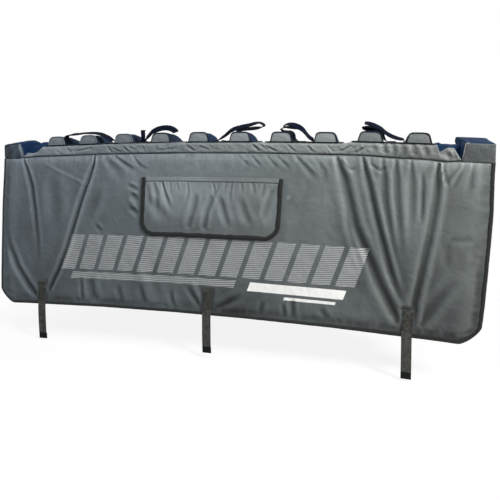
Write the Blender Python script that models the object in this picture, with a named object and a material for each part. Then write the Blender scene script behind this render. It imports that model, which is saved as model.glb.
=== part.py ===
"""Tailgate bike pad: a padded cover that hangs over a pickup's tailgate and holds five bicycles.

Metres, +Z up, front of the pad towards -Y. The origin is the middle of the collar's underside,
where the pad rests on the tailgate's top edge.

Every piece is drawn flat and level first. place() then bends it over the tailgate's slightly
arched top edge and lets the outer panel hang a little to one side.
"""
import math

import bmesh
import bpy

# Whole pad
CROWN = 0.0178              # how far the tailgate's top edge falls from the middle to the ends
CROWN_POWER = 1.7
CLEARANCE = 0.0003          # between pieces that touch

# Collar on the tailgate's top edge
COLLAR_DEPTH = 0.104
COLLAR_HEIGHT = 0.030
COLLAR_ROUNDING = 0.007
COLLAR_REAR_LIFT = 0.006    # the loose ends of the collar stand up at the back
SEAM_RISE = 0.001           # the panels are sewn on this far above the collar's underside
SEAM_MARGIN = 0.001         # between a panel and the part of the underside that rests
LOOSE_END = 0.0673          # collar between the last cradle base and an end block
GATHER_LOW = 0.005          # front height of the collar where its cover is pulled down
GATHER_FOLD = 0.025         # front height of the bunched fold beside the right block

# End blocks
BLOCK_WIDTH = 0.066
BLOCK_FRONT_HEIGHT = 0.043
BLOCK_REAR_HEIGHT = 0.055
BLOCK_LEAN = 0.009          # how far the inner side leans outward at the top
BLOCK_ROUNDING = 0.005

# Row of five cradles
CRADLES = 5
PITCH = 0.11255             # from one bumper to the next
ROW_OFFSET = 0.0035         # the row sits a little to the right of the panel's middle
BASE_LENGTH = 0.203
BASE_THICKNESS = 0.003
BASE_SETBACK = 0.004
BASE_CORNER = 0.012
BUMPER_WIDTH = 0.058
BUMPER_TOP_WIDTH = 0.044
BUMPER_HEIGHT = 0.0245
BUMPER_SETBACK = 0.001
BUMPER_TAIL = 0.002         # height of the bumper's rear end

# Outer panel
PANEL_DROP = 0.450
PANEL_THICKNESS = 0.008
PANEL_CORNER = 0.047
PANEL_SWAY = 0.028          # the lower edge hangs this far to the left
BOUND_EDGE = 0.004          # thickness of a sheet where its edge is bound
BINDING_WIDTH = 0.012
BINDING_TAPE = 0.0012

# Access flap and the window behind it
FLAP_HALF_WIDTH = 0.200
FLAP_DROP = 0.165
FLAP_CORNER = 0.042
FLAP_THICKNESS = 0.005
FLAP_OFFSET = -0.018
FLAP_BELOW_SEAM = 0.065
FLAP_BINDING_WIDTH = 0.012
FLAP_HEM = 0.012
WINDOW_MARGIN = 0.045       # the window is this much smaller than the flap all round

# Inner panel
INNER_INSET = 0.085         # how much shorter it is than the outer panel at each side
INNER_DROP = 0.400
INNER_THICKNESS = 0.006
INNER_CORNER = 0.040

# Webbing
WEBBING = 0.025
WEBBING_THICKNESS = 0.0016
STRAP_INSET = 0.156         # from the panel's side to the middle of an outer strap
STRAP_OFFSET = -0.009
STRAP_PATCH = 0.058
STRAP_PATCH_RISE = 0.012    # from the panel's lower edge to the foot of the sewn patch
STRAP_HANG = 0.108
STRAP_FOLD = 0.016

# Buckles on the inner panel
BUCKLE_WIDTH = 0.033
BUCKLE_LENGTH = 0.030
BUCKLE_THICKNESS = 0.004
BUCKLE_BAR = 0.004
BUCKLE_GAP = 0.012          # from the inner panel's lower edge to the buckle's upper bar
TAB_SEWN = 0.040

# Frame straps
STRAP_SETBACK = 0.017       # from the collar's front to the middle of a frame strap

# Levels and planes that follow from the sizes above
FRONT = -COLLAR_DEPTH / 2
REAR = COLLAR_DEPTH / 2
ROW_HALF = (CRADLES - 1) * PITCH + BASE_LENGTH / 2
BLOCK_INNER = ROW_HALF + LOOSE_END
HALF_WIDTH = BLOCK_INNER + BLOCK_WIDTH
INNER_HALF_WIDTH = HALF_WIDTH - INNER_INSET
STRAP_SPREAD = HALF_WIDTH - STRAP_INSET
PANEL_TOP = SEAM_RISE - CLEARANCE
BASE_LEVEL = COLLAR_HEIGHT + CLEARANCE
BUMPER_LEVEL = BASE_LEVEL + BASE_THICKNESS + CLEARANCE
BUMPER_TOP = BUMPER_LEVEL + BUMPER_HEIGHT
SLOT_HALF = (PITCH - BUMPER_WIDTH) / 2
CRADLE_CENTRES = [ROW_OFFSET + (k - (CRADLES - 1) / 2) * 2 * PITCH for k in range(CRADLES)]

COLOURS = {
    "coated_nylon": ((0.110, 0.127, 0.133), 0.55, 0.0),
    "bumper_nylon": ((0.170, 0.190, 0.205), 0.6, 0.0),
    "navy_nylon": ((0.020, 0.045, 0.095), 0.5, 0.0),
    "edge_tape": ((0.022, 0.026, 0.028), 0.8, 0.0),
    "base_pad": ((0.035, 0.040, 0.044), 0.7, 0.0),
    "webbing": ((0.045, 0.050, 0.048), 0.85, 0.0),
    "strap_webbing": ((0.010, 0.014, 0.024), 0.8, 0.0),
    "buckle_plastic": ((0.012, 0.012, 0.013), 0.4, 0.0),
}


def clear_scene():
    for item in list(bpy.data.objects):
        bpy.data.objects.remove(item, do_unlink=True)


def make_material(name, finish):
    colour, roughness, metallic = COLOURS[finish]
    material = bpy.data.materials.new(name)
    material.use_nodes = True
    shader = material.node_tree.nodes["Principled BSDF"]
    shader.inputs["Base Color"].default_value = (*colour, 1.0)
    shader.inputs["Roughness"].default_value = roughness
    shader.inputs["Metallic"].default_value = metallic
    return material


def add_object(name, points, faces, finish, smooth_angle=None):
    """Makes one closed, outward-facing object from points and faces."""
    mesh = bpy.data.meshes.new(name)
    shape = bmesh.new()
    corners = [shape.verts.new(point) for point in points]
    for face in faces:
        shape.faces.new([corners[index] for index in face])
    bmesh.ops.recalc_face_normals(shape, faces=shape.faces[:])
    bmesh.ops.triangulate(shape, faces=[face for face in shape.faces if len(face.verts) > 4])
    shape.to_mesh(mesh)
    shape.free()
    mesh.materials.append(make_material(name, finish))
    if smooth_angle is not None:
        mesh.shade_smooth()
        mesh.set_sharp_from_angle(angle=math.radians(smooth_angle))
    item = bpy.data.objects.new(name, mesh)
    bpy.context.scene.collection.objects.link(item)
    return item


def smooth_step(value):
    value = min(1.0, max(0.0, value))
    return value * value * (3 - 2 * value)


def spaced(start, end, steps):
    """Evenly spaced values from start to end, both included."""
    return [start + (end - start) * i / steps for i in range(steps + 1)]


def joined(*runs):
    """Joins runs of values whose ends meet."""
    values = list(runs[0])
    for run in runs[1:]:
        values.extend(run[1:])
    return values


# The tailgate's arch and the hang of the outer panel

def arch_height(x):
    """The arch is straight under each cradle and bends only between them."""
    distance = abs(x - ROW_OFFSET)
    knots = [PITCH * (2 * k + 1) for k in range((CRADLES + 1) // 2)]
    knots.append(HALF_WIDTH + abs(ROW_OFFSET))
    run = knots[-1] - knots[0]
    levels = [-CROWN * ((knot - knots[0]) / run) ** CROWN_POWER for knot in knots]
    if distance <= knots[0]:
        return 0.0
    for k in range(1, len(knots)):
        if distance <= knots[k] or k == len(knots) - 1:
            share = (distance - knots[k - 1]) / (knots[k] - knots[k - 1])
            return levels[k - 1] + share * (levels[k] - levels[k - 1])


def arch_bends():
    """The places along the pad where the arch changes its slope."""
    return [centre + side * PITCH for centre in CRADLE_CENTRES for side in (-1, 1)]


def place(point):
    x, y, z = point
    return (x, y, z + arch_height(x))


def place_hanging(point):
    x, y, z = point
    level = max(-PANEL_DROP, min(z, 0.0))
    swayed = x + PANEL_SWAY * level / PANEL_DROP
    return (swayed, y, z + arch_height(x))


# Lofts: rings of points joined into one solid

def loft(name, rings, finish, placing=place, smooth_angle=None):
    count = len(rings[0])
    points = [placing(point) for ring in rings for point in ring]
    faces = []
    for k in range(len(rings) - 1):
        for i in range(count):
            j = (i + 1) % count
            faces.append((k * count + i, k * count + j, (k + 1) * count + j, (k + 1) * count + i))
    faces.append(tuple(range(count)))
    faces.append(tuple(range((len(rings) - 1) * count, len(rings) * count)))
    return add_object(name, points, faces, finish, smooth_angle)


def rounded_top(front, rear, front_height, rear_height, rounding):
    """A side section (y, z) with a flat foot between the sewn-on panels and two rounded upper
    corners."""
    foot_front = front + PANEL_THICKNESS + SEAM_MARGIN
    foot_rear = rear - INNER_THICKNESS - SEAM_MARGIN
    section = [(foot_front, 0.0), (foot_front, SEAM_RISE), (front, SEAM_RISE)]
    for y, height, turn in ((front, front_height, 1), (rear, rear_height, -1)):
        radius = min(rounding, 0.45 * height)
        angles = spaced(0, 90, 3) if turn == 1 else spaced(90, 0, 3)
        for angle in angles:
            across = radius * (1 - math.cos(math.radians(angle)))
            up = radius * (1 - math.sin(math.radians(angle)))
            section.append((y + turn * across, height - up))
    section += [(rear, SEAM_RISE), (foot_rear, SEAM_RISE), (foot_rear, 0.0)]
    return section


# Collar and end blocks

def collar_profile():
    """The collar's front and rear height along X: full under the cradles, gathered at the ends."""
    end = BLOCK_INNER - CLEARANCE
    row_left = CRADLE_CENTRES[0] - BASE_LENGTH / 2
    row_right = CRADLE_CENTRES[-1] + BASE_LENGTH / 2
    loose_left = row_left + end
    loose_right = end - row_right
    lifted = COLLAR_HEIGHT + COLLAR_REAR_LIFT
    return [
        (-end, GATHER_LOW, lifted),
        (row_left - 0.62 * loose_left, GATHER_LOW, lifted),
        (row_left - 0.06 * loose_left, COLLAR_HEIGHT, COLLAR_HEIGHT),
        (row_right + 0.02 * loose_right, COLLAR_HEIGHT, COLLAR_HEIGHT),
        (row_right + 0.16 * loose_right, 0.5 * COLLAR_HEIGHT, lifted),
        (row_right + 0.48 * loose_right, GATHER_FOLD, lifted),
        (row_right + 0.76 * loose_right, GATHER_FOLD, lifted),
        (end, GATHER_LOW, lifted),
    ]


def along_profile(profile, x, column):
    """A profile's value at x, straight between its points."""
    for left, right in zip(profile, profile[1:]):
        if left[0] <= x <= right[0]:
            share = (x - left[0]) / (right[0] - left[0])
            return left[column] + share * (right[column] - left[column])
    raise ValueError("x lies outside the profile")


def make_collar():
    rings = []
    profile = collar_profile()
    stations = {round(point[0], 6) for point in profile[1:-1]}
    stations |= {round(x, 6) for x in arch_bends() if profile[0][0] < x < profile[-1][0]}
    for x in [profile[0][0], *sorted(stations), profile[-1][0]]:
        front_height = along_profile(profile, x, 1)
        rear_height = along_profile(profile, x, 2)
        section = rounded_top(FRONT, REAR, front_height, rear_height, COLLAR_ROUNDING)
        rings.append([(x, y, z) for y, z in section])
    return loft("top_collar", rings, "coated_nylon", smooth_angle=35)


def make_end_block(name, side):
    rings = []
    width = BLOCK_WIDTH
    for along, inset in ((0.0, BLOCK_ROUNDING), (BLOCK_ROUNDING, 0.0),
                         (width - BLOCK_ROUNDING, 0.0), (width, BLOCK_ROUNDING)):
        front_height = BLOCK_FRONT_HEIGHT - inset
        rear_height = BLOCK_REAR_HEIGHT - inset
        section = rounded_top(FRONT + inset, REAR - inset, front_height, rear_height,
                              BLOCK_ROUNDING)
        ring = []
        for y, z in section:
            lean = BLOCK_LEAN * (z / BLOCK_FRONT_HEIGHT) * (1 - along / width)
            ring.append((side * (BLOCK_INNER + along + lean), y, z))
        rings.append(ring)
    return loft(name, rings, "coated_nylon", smooth_angle=35)


# Cradles: a thin base pad with two domed bumpers

def make_cradle_base(name, centre):
    """A thin pad with rounded corners, drawn as an outline and given its thickness."""
    across = BASE_LENGTH / 2 - BASE_CORNER
    deep = COLLAR_DEPTH / 2 - BASE_SETBACK - BASE_CORNER
    outline = []
    for x, y, start in ((across, deep, 0), (-across, deep, 90),
                        (-across, -deep, 180), (across, -deep, 270)):
        for angle in spaced(start, start + 90, 4):
            turn = math.radians(angle)
            outline.append((x + BASE_CORNER * math.cos(turn), y + BASE_CORNER * math.sin(turn)))
    rings = []
    for z in (BASE_LEVEL, BASE_LEVEL + BASE_THICKNESS):
        rings.append([(centre + x, y, z) for x, y in outline])
    return loft(name, rings, "base_pad", smooth_angle=35)


def bumper_height(y):
    """The dome is full height at the front and falls in a quarter ellipse to its tail."""
    front = FRONT + BUMPER_SETBACK
    rear = REAR - BUMPER_SETBACK
    share = min(1.0, max(0.0, (y - front) / (rear - front)))
    return BUMPER_TAIL + (BUMPER_HEIGHT - BUMPER_TAIL) * math.sqrt(max(0.0, 1 - share * share))


def bumper_front():
    """The grey front face: a trapezoid with rounded upper corners, as (x, share of height)."""
    half = BUMPER_WIDTH / 2
    top = BUMPER_TOP_WIDTH / 2
    right = [(half, 0.0), (top + 0.55 * (half - top), 0.5)]
    for angle in spaced(15, 90, 3):
        turn = math.radians(angle)
        right.append((top - 0.36 * top * (1 - math.cos(turn)), 0.62 + 0.38 * math.sin(turn)))
    left = [(-x, z) for x, z in reversed(right)]
    return right + left


def make_bumper(name, centre):
    front = FRONT + BUMPER_SETBACK
    rear = REAR - BUMPER_SETBACK
    rings = []
    for angle in (0, 22, 40, 55, 68, 79, 90):
        y = front + (rear - front) * math.sin(math.radians(angle))
        height = bumper_height(y)
        rings.append([(centre + x, y, BUMPER_LEVEL + z * height) for x, z in bumper_front()])
    return loft(name, rings, "bumper_nylon", smooth_angle=40)


# Sheets: a padded panel drawn as a grid, with a bound edge that is thinner

def outline_bottom(x, half_width, drop, corner):
    """Height of a sheet's lower edge at x, with round lower corners."""
    past = abs(x) - (half_width - corner)
    if past <= 0:
        return -drop
    return -drop + corner - math.sqrt(max(0.0, corner * corner - past * past))


def edge_distance(x, z, half_width, drop, corner):
    """How far a point of a sheet lies inside its two sides and lower edge."""
    past = abs(x) - (half_width - corner)
    below = -z - (drop - corner)
    if past > 0 and below > 0:
        return corner - math.hypot(past, below)
    return min(half_width - abs(x), drop + z)


def sheet_columns(half_width, corner, inner):
    """Columns close together at the round corners, and the given ones between them."""
    turns = spaced(0, 90, 4)
    right = [half_width - corner + corner * math.sin(math.radians(turn)) for turn in turns]
    left = [-x for x in reversed(right)]
    return joined(left, inner, right)


def make_sheet(name, centre_x, top, size, columns, rows, front_at, back_at, window, finish,
               placing):
    """A padded sheet. rows are shares of the drop, window is (left, right, upper, lower) or None."""
    half_width, drop, corner = size
    points = {}
    for i, x in enumerate(columns):
        bottom = outline_bottom(x, half_width, drop, corner)
        for j, share in enumerate(rows):
            z = bottom * share
            points[i, j, 0] = (centre_x + x, front_at(x, z), top + z)
            points[i, j, 1] = (centre_x + x, back_at(x, z), top + z)
    cells = set()
    for i in range(len(columns) - 1):
        for j in range(len(rows) - 1):
            middle_x = (columns[i] + columns[i + 1]) / 2
            middle_z = -drop * (rows[j] + rows[j + 1]) / 2
            if window and window[0] < middle_x < window[1] and window[3] < middle_z < window[2]:
                continue
            cells.add((i, j))
    used = {}
    faces = []

    def corner_index(key):
        return used.setdefault(key, len(used))

    for i, j in sorted(cells):
        ring = [(i, j), (i + 1, j), (i + 1, j + 1), (i, j + 1)]
        faces.append([corner_index((*key, 0)) for key in ring])
        faces.append([corner_index((*key, 1)) for key in reversed(ring)])
        sides = (((i, j - 1), 0, 1), ((i + 1, j), 1, 2), ((i, j + 1), 2, 3), ((i - 1, j), 3, 0))
        for neighbour, a, b in sides:
            if neighbour not in cells:
                faces.append([corner_index((*ring[a], 0)), corner_index((*ring[a], 1)),
                              corner_index((*ring[b], 1)), corner_index((*ring[b], 0))])
    placed = [placing(points[key]) for key in used]
    return add_object(name, placed, faces, finish, smooth_angle=50)


def sheet_outline(centre_x, top, size, columns, rows):
    """The sheet's free edge as (x, z), down the left side, along the bottom and up the right."""
    half_width, drop, corner = size
    bottoms = [(centre_x + x, top + outline_bottom(x, half_width, drop, corner)) for x in columns]
    left = [(bottoms[0][0], top + (bottoms[0][1] - top) * share) for share in rows[:-1]]
    right = [(bottoms[-1][0], z) for x, z in reversed(left)]
    return left + bottoms + right


def make_binding(name, outline, front, back, width, finish, placing):
    """Tape folded round a sheet's free edge: a U section carried along the outline."""
    outside = -(CLEARANCE + BINDING_TAPE)
    section = [
        (outside, front - CLEARANCE - BINDING_TAPE), (width, front - CLEARANCE - BINDING_TAPE),
        (width, front - CLEARANCE), (-CLEARANCE, front - CLEARANCE),
        (-CLEARANCE, back + CLEARANCE), (width, back + CLEARANCE),
        (width, back + CLEARANCE + BINDING_TAPE), (outside, back + CLEARANCE + BINDING_TAPE),
    ]
    rings = []
    last = len(outline) - 1
    for k, (x, z) in enumerate(outline):
        before = outline[max(0, k - 1)]
        after = outline[min(last, k + 1)]
        first = unit(x - before[0], z - before[1]) if k > 0 else unit(after[0] - x, after[1] - z)
        second = unit(after[0] - x, after[1] - z) if k < last else first
        along = unit(first[0] + second[0], first[1] + second[1])
        inward = (-along[1], along[0])
        stretch = 1 / max(0.5, first[0] * along[0] + first[1] * along[1])
        rings.append([(x + inward[0] * reach * stretch, y, z + inward[1] * reach * stretch)
                      for reach, y in section])
    return loft(name, rings, finish, placing)


def unit(x, z):
    length = math.hypot(x, z)
    return (x / length, z / length)


# Folds of the outer panel, as lines (x, z) in panel millimetres with the seam at z = 0

LEFT_FOLDS = [
    ([(-561, -430), (-621, -331), (-664, -246)], 16, 4.5),
    ([(-612, -20), (-592, -84), (-567, -175), (-560, -252), (-546, -360)], 15, 5.0),
    ([(-525, -420), (-482, -343), (-443, -221), (-403, -102), (-376, -30)], 15, 7.0),
    ([(-362, -345), (-358, -425)], 18, 5.5),
]
MIDDLE_FOLDS = [
    ([(-273, -102), (-230, -165)], 14, 4.0),
    ([(-53, -350), (-24, -420)], 14, 4.0),
]
RIGHT_FOLDS = [
    ([(508, -425), (454, -325), (386, -179), (344, -50), (332, -24)], 16, 7.0),
    ([(498, -361), (449, -223), (402, -74), (386, -24)], 14, 6.0),
    ([(491, -261), (476, -180), (456, -24)], 15, 5.5),
    ([(530, -424), (541, -285), (560, -93), (560, -24)], 15, 6.0),
]
RIDGES = [
    ([(-193, -365), (-191, -425)], 16, -4.0),
    ([(-490, -40), (-640, -200)], 60, -3.5),
    ([(478, -330), (408, -179), (366, -50)], 12, -4.5),
    ([(512, -330), (520, -60)], 20, -4.0),
    ([(600, -330), (610, -60)], 40, -3.5),
    ([(0, -330), (120, -400)], 120, -3.5),
]
MM = 0.001


def line_distance(x, z, line):
    """Distance from a point to a broken line, both in millimetres."""
    nearest = 1e9
    for (x1, z1), (x2, z2) in zip(line, line[1:]):
        run = (x2 - x1) ** 2 + (z2 - z1) ** 2
        share = min(1.0, max(0.0, ((x - x1) * (x2 - x1) + (z - z1) * (z2 - z1)) / run))
        nearest = min(nearest, math.hypot(x - x1 - share * (x2 - x1), z - z1 - share * (z2 - z1)))
    return nearest


def outside_box(x, z, left, right, lower, upper):
    """Distance from a point to a box, 0 inside it."""
    return math.hypot(max(left - x, 0.0, x - right), max(lower - z, 0.0, z - upper))


def flat_places(x, z):
    """Falls to 0 where the panel is flat: at its edges, under the flap and at the strap patches."""
    calm = smooth_step((edge_distance(x, z, HALF_WIDTH, PANEL_DROP, PANEL_CORNER)
                        - 0.022) / 0.025)
    calm *= smooth_step(-z / 0.030)
    left = FLAP_OFFSET - FLAP_HALF_WIDTH
    right = FLAP_OFFSET + FLAP_HALF_WIDTH
    flap = outside_box(x, z, left, right, -FLAP_BELOW_SEAM - FLAP_DROP, -FLAP_BELOW_SEAM)
    calm *= smooth_step((flap - 0.024) / 0.030)
    for centre in strap_centres():
        patch = outside_box(x, z, centre - WEBBING / 2, centre + WEBBING / 2,
                            -PANEL_DROP, -PANEL_DROP + STRAP_PATCH_RISE + STRAP_PATCH)
        calm *= smooth_step((patch - 0.024) / 0.030)
    return calm


def panel_relief(x, z):
    """How far the panel's face falls back (+) or stands out (-) from flat."""
    depth = 0.0
    for line, width, fall in LEFT_FOLDS + MIDDLE_FOLDS + RIGHT_FOLDS + RIDGES:
        away = line_distance(x / MM, z / MM, line) / width
        depth += fall * MM * math.exp(-away * away)
    return depth * flat_places(x, z)


def bound_thickness(distance, thickness):
    """Thin at a bound edge, full thickness further in."""
    return BOUND_EDGE + (thickness - BOUND_EDGE) * smooth_step((distance - 0.022) / 0.020)


def make_outer_panel():
    size = (HALF_WIDTH, PANEL_DROP + PANEL_TOP, PANEL_CORNER)
    window_left = FLAP_OFFSET - FLAP_HALF_WIDTH + WINDOW_MARGIN
    window_right = FLAP_OFFSET + FLAP_HALF_WIDTH - WINDOW_MARGIN
    window_upper = -FLAP_BELOW_SEAM - WINDOW_MARGIN
    window_lower = -FLAP_BELOW_SEAM - FLAP_DROP + WINDOW_MARGIN
    corner_start = HALF_WIDTH - PANEL_CORNER
    inner = joined(spaced(-corner_start, window_left, 21), spaced(window_left, window_right, 12),
                   spaced(window_right, corner_start, 24))
    columns = sheet_columns(HALF_WIDTH, PANEL_CORNER, inner)
    edge_row = 1 - (BINDING_WIDTH + 0.002) / PANEL_DROP
    rows = joined(spaced(0, -window_upper / PANEL_DROP, 5),
                  spaced(-window_upper / PANEL_DROP, -window_lower / PANEL_DROP, 3),
                  spaced(-window_lower / PANEL_DROP, edge_row, 11), [edge_row, 1.0])

    def back(x, z):
        distance = edge_distance(x, z, HALF_WIDTH, PANEL_DROP, PANEL_CORNER)
        return FRONT + panel_relief(x, z) + bound_thickness(distance, PANEL_THICKNESS)

    window = (window_left, window_right, window_upper, window_lower)
    make_sheet("outer_panel", 0.0, PANEL_TOP, size, columns, rows,
               lambda x, z: FRONT + panel_relief(x, z), back, window, "coated_nylon",
               place_hanging)
    outline = sheet_outline(0.0, PANEL_TOP, size, columns, rows)
    make_binding("outer_binding", outline, FRONT, FRONT + BOUND_EDGE, BINDING_WIDTH,
                 "edge_tape", place_hanging)


def make_inner_panel():
    size = (INNER_HALF_WIDTH, INNER_DROP + PANEL_TOP, INNER_CORNER)
    corner_start = INNER_HALF_WIDTH - INNER_CORNER
    columns = sheet_columns(INNER_HALF_WIDTH, INNER_CORNER, spaced(-corner_start, corner_start, 14))
    edge_row = 1 - (BINDING_WIDTH + 0.002) / INNER_DROP
    rows = joined(spaced(0, edge_row, 7), [edge_row, 1.0])

    def front(x, z):
        distance = edge_distance(x, z, INNER_HALF_WIDTH, INNER_DROP, INNER_CORNER)
        return REAR - bound_thickness(distance, INNER_THICKNESS)

    make_sheet("inner_panel", 0.0, PANEL_TOP, size, columns, rows, front,
               lambda x, z: REAR, None, "coated_nylon", place)
    outline = sheet_outline(0.0, PANEL_TOP, size, columns, rows)
    make_binding("inner_binding", outline, REAR - BOUND_EDGE, REAR, BINDING_WIDTH,
                 "edge_tape", place)


# Access flap

FLAP_GATHERS = [
    ([(-150, -18), (-128, -80), (-112, -140)], 15, 1.8),
    ([(-75, -16), (-66, -70)], 13, 1.6),
    ([(-52, -60), (-76, -140)], 15, 1.8),
    ([(20, -16), (8, -90)], 15, 1.6),
    ([(95, -16), (70, -80), (60, -135)], 15, 1.8),
    ([(150, -18), (130, -90)], 15, 1.6),
]
FLAP_BILLOW = 0.003


def flap_relief(x, z):
    distance = edge_distance(x, z, FLAP_HALF_WIDTH, FLAP_DROP, FLAP_CORNER)
    calm = smooth_step((distance - 0.016) / 0.025) * smooth_step((-z - FLAP_HEM) / 0.020)
    depth = -FLAP_BILLOW
    for line, width, fall in FLAP_GATHERS:
        away = line_distance(x / MM, z / MM, line) / width
        depth += fall * MM * math.exp(-away * away)
    return depth * calm


def make_access_flap():
    size = (FLAP_HALF_WIDTH, FLAP_DROP, FLAP_CORNER)
    corner_start = FLAP_HALF_WIDTH - FLAP_CORNER
    columns = sheet_columns(FLAP_HALF_WIDTH, FLAP_CORNER, spaced(-corner_start, corner_start, 18))
    hem_row = FLAP_HEM / FLAP_DROP
    edge_row = 1 - (FLAP_BINDING_WIDTH + 0.002) / FLAP_DROP
    rows = joined([0.0, hem_row], spaced(hem_row, edge_row, 7), [edge_row, 1.0])
    back = FRONT - 2 * CLEARANCE - BINDING_TAPE
    edge_front = back - BOUND_EDGE

    def front(x, z):
        distance = edge_distance(x, z, FLAP_HALF_WIDTH, FLAP_DROP, FLAP_CORNER)
        extra = bound_thickness(distance, FLAP_THICKNESS) - BOUND_EDGE
        return edge_front - extra + flap_relief(x, z)

    top = -FLAP_BELOW_SEAM
    make_sheet("access_flap", FLAP_OFFSET, top, size, columns, rows, front,
               lambda x, z: back, None, "coated_nylon", place_hanging)
    outline = sheet_outline(FLAP_OFFSET, top, size, columns, rows)
    make_binding("flap_binding", outline, edge_front, back, FLAP_BINDING_WIDTH, "edge_tape",
                 place_hanging)


# Webbing

def curve_points(route, steps):
    """Points on a smooth curve through the route's own points."""
    points = []
    last = len(route) - 1
    for k in range(last):
        p0 = route[max(0, k - 1)]
        p1 = route[k]
        p2 = route[k + 1]
        p3 = route[min(last, k + 2)]
        for step in range(steps):
            t = step / steps
            points.append(tuple(
                0.5 * (2 * b + (c - a) * t + (2 * a - 5 * b + 4 * c - d) * t * t
                       + (3 * b - a - 3 * c + d) * t ** 3)
                for a, b, c, d in zip(p0, p1, p2, p3)))
    points.append(tuple(route[-1]))
    return points


def make_webbing(name, path, finish, placing, width=WEBBING, thickness=WEBBING_THICKNESS,
                 across="y"):
    """A flat strap along a path of (x, y, z, twist). Its width lies along Y (or X), turned
    by the twist in degrees about the path."""
    rings = []
    last = len(path) - 1
    for k, (x, y, z, twist) in enumerate(path):
        before = path[max(0, k - 1)]
        after = path[min(last, k + 1)]
        along = normal([after[i] - before[i] for i in range(3)])
        flat = (0.0, 1.0, 0.0) if across == "y" else (1.0, 0.0, 0.0)
        slip = sum(along[i] * flat[i] for i in range(3))
        flat = normal([flat[i] - slip * along[i] for i in range(3)])
        up = cross(along, flat)
        turn = math.radians(twist)
        wide = [flat[i] * math.cos(turn) + up[i] * math.sin(turn) for i in range(3)]
        thick = cross(along, wide)
        ring = []
        for a, b in ((1, 1), (-1, 1), (-1, -1), (1, -1)):
            ring.append(tuple((x, y, z)[i] + wide[i] * a * width / 2 + thick[i] * b * thickness / 2
                              for i in range(3)))
        rings.append(ring)
    return loft(name, rings, finish, placing)


def normal(vector):
    length = math.sqrt(sum(value * value for value in vector))
    return [value / length for value in vector]


def cross(a, b):
    return [a[1] * b[2] - a[2] * b[1], a[2] * b[0] - a[0] * b[2], a[0] * b[1] - a[1] * b[0]]


def strap_centres():
    return [STRAP_OFFSET + side * STRAP_SPREAD for side in (-1, 0, 1)]


def make_lower_strap(name, centre):
    """Sewn flat on the panel, over the bound edge, then hanging, with its end folded back."""
    half = WEBBING_THICKNESS / 2
    on_panel = FRONT - CLEARANCE - half
    on_binding = FRONT - 2 * CLEARANCE - BINDING_TAPE - half
    patch_top = -PANEL_DROP + STRAP_PATCH_RISE + STRAP_PATCH
    step_start = -PANEL_DROP + BINDING_WIDTH + 0.006
    step_end = -PANEL_DROP + BINDING_WIDTH + 0.001
    end = -PANEL_DROP - STRAP_HANG
    bend = half + CLEARANCE / 2
    path = [(on_panel, patch_top), (on_panel, step_start), (on_binding, step_end),
            (on_binding, -PANEL_DROP - BINDING_TAPE)]
    path += [(on_binding, z) for z in spaced(-PANEL_DROP - 0.02, end + bend, 3)]
    for angle in spaced(45, 180, 3):
        turn = math.radians(angle)
        path.append((on_binding + bend * (1 - math.cos(turn)), end + bend - bend * math.sin(turn)))
    path.append((on_binding + 2 * bend, end + STRAP_FOLD))
    route = [(centre, y, z, 0.0) for y, z in path]
    return make_webbing(name, route, "webbing", place_hanging, across="x")


def make_buckle(name, centre):
    """A ladder buckle: a flat frame with two slots."""
    half = BUCKLE_WIDTH / 2
    top = -INNER_DROP - BUCKLE_GAP
    front = REAR - BOUND_EDGE / 2 - BUCKLE_THICKNESS / 2
    slot = (BUCKLE_LENGTH - 3 * BUCKLE_BAR) / 2
    side_bar = (BUCKLE_WIDTH - WEBBING) / 2 - CLEARANCE
    xs = [-half, -half + side_bar, half - side_bar, half]
    zs = [top]
    for step in (BUCKLE_BAR, slot, BUCKLE_BAR, slot, BUCKLE_BAR):
        zs.append(zs[-1] - step)
    points = [place((centre + x, y, z)) for y in (front, front + BUCKLE_THICKNESS)
              for z in zs for x in xs]
    layer = len(xs) * len(zs)
    cells = {(i, j) for i in range(3) for j in range(5) if not (i == 1 and j in (1, 3))}
    faces = []
    for i, j in sorted(cells):
        a = j * len(xs) + i
        ring = [a, a + 1, a + 1 + len(xs), a + len(xs)]
        faces.append(ring)
        faces.append([index + layer for index in reversed(ring)])
        sides = (((i, j - 1), 0, 1), ((i + 1, j), 1, 2), ((i, j + 1), 2, 3), ((i - 1, j), 3, 0))
        for neighbour, b, c in sides:
            if neighbour not in cells:
                faces.append([ring[b], ring[b] + layer, ring[c] + layer, ring[c]])
    return add_object(name, points, faces, "buckle_plastic")


def make_buckle_tab(name, centre):
    """Webbing folded round the buckle's upper bar, both ends sewn on the inner panel."""
    half = WEBBING_THICKNESS / 2
    width = WEBBING - 2 * CLEARANCE
    bar_top = -INNER_DROP - BUCKLE_GAP
    bar_bottom = bar_top - BUCKLE_BAR
    bar_front = REAR - BOUND_EDGE / 2 - BUCKLE_THICKNESS / 2
    bar_rear = bar_front + BUCKLE_THICKNESS
    sewn_top = -INNER_DROP + TAB_SEWN
    below_binding = -INNER_DROP - BINDING_TAPE - 2 * WEBBING_THICKNESS
    inner_layer = REAR + 2 * CLEARANCE + BINDING_TAPE + half
    outer_layer = inner_layer + CLEARANCE + WEBBING_THICKNESS
    front = bar_front - CLEARANCE - half
    rear = bar_rear + CLEARANCE + half
    under = bar_bottom - CLEARANCE - half
    path = [(inner_layer, sewn_top), (inner_layer, below_binding),
            (front, bar_top), (front, bar_bottom), (front, under),
            (rear, under), (rear, bar_bottom), (rear, bar_top),
            (outer_layer, below_binding), (outer_layer, sewn_top)]
    route = [(centre, y, z, 0.0) for y, z in path]
    return make_webbing(name, route, "webbing", place, width=width, across="x")


# Frame straps: routes chosen by hand, as (across, height, twist)
# across runs from -1 to 1 between a cradle's two bumpers and from 1 to 2 over the right-hand one.
# height is in millimetres above the bumpers' top, and FOOT is flat on the cradle's base.

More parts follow.
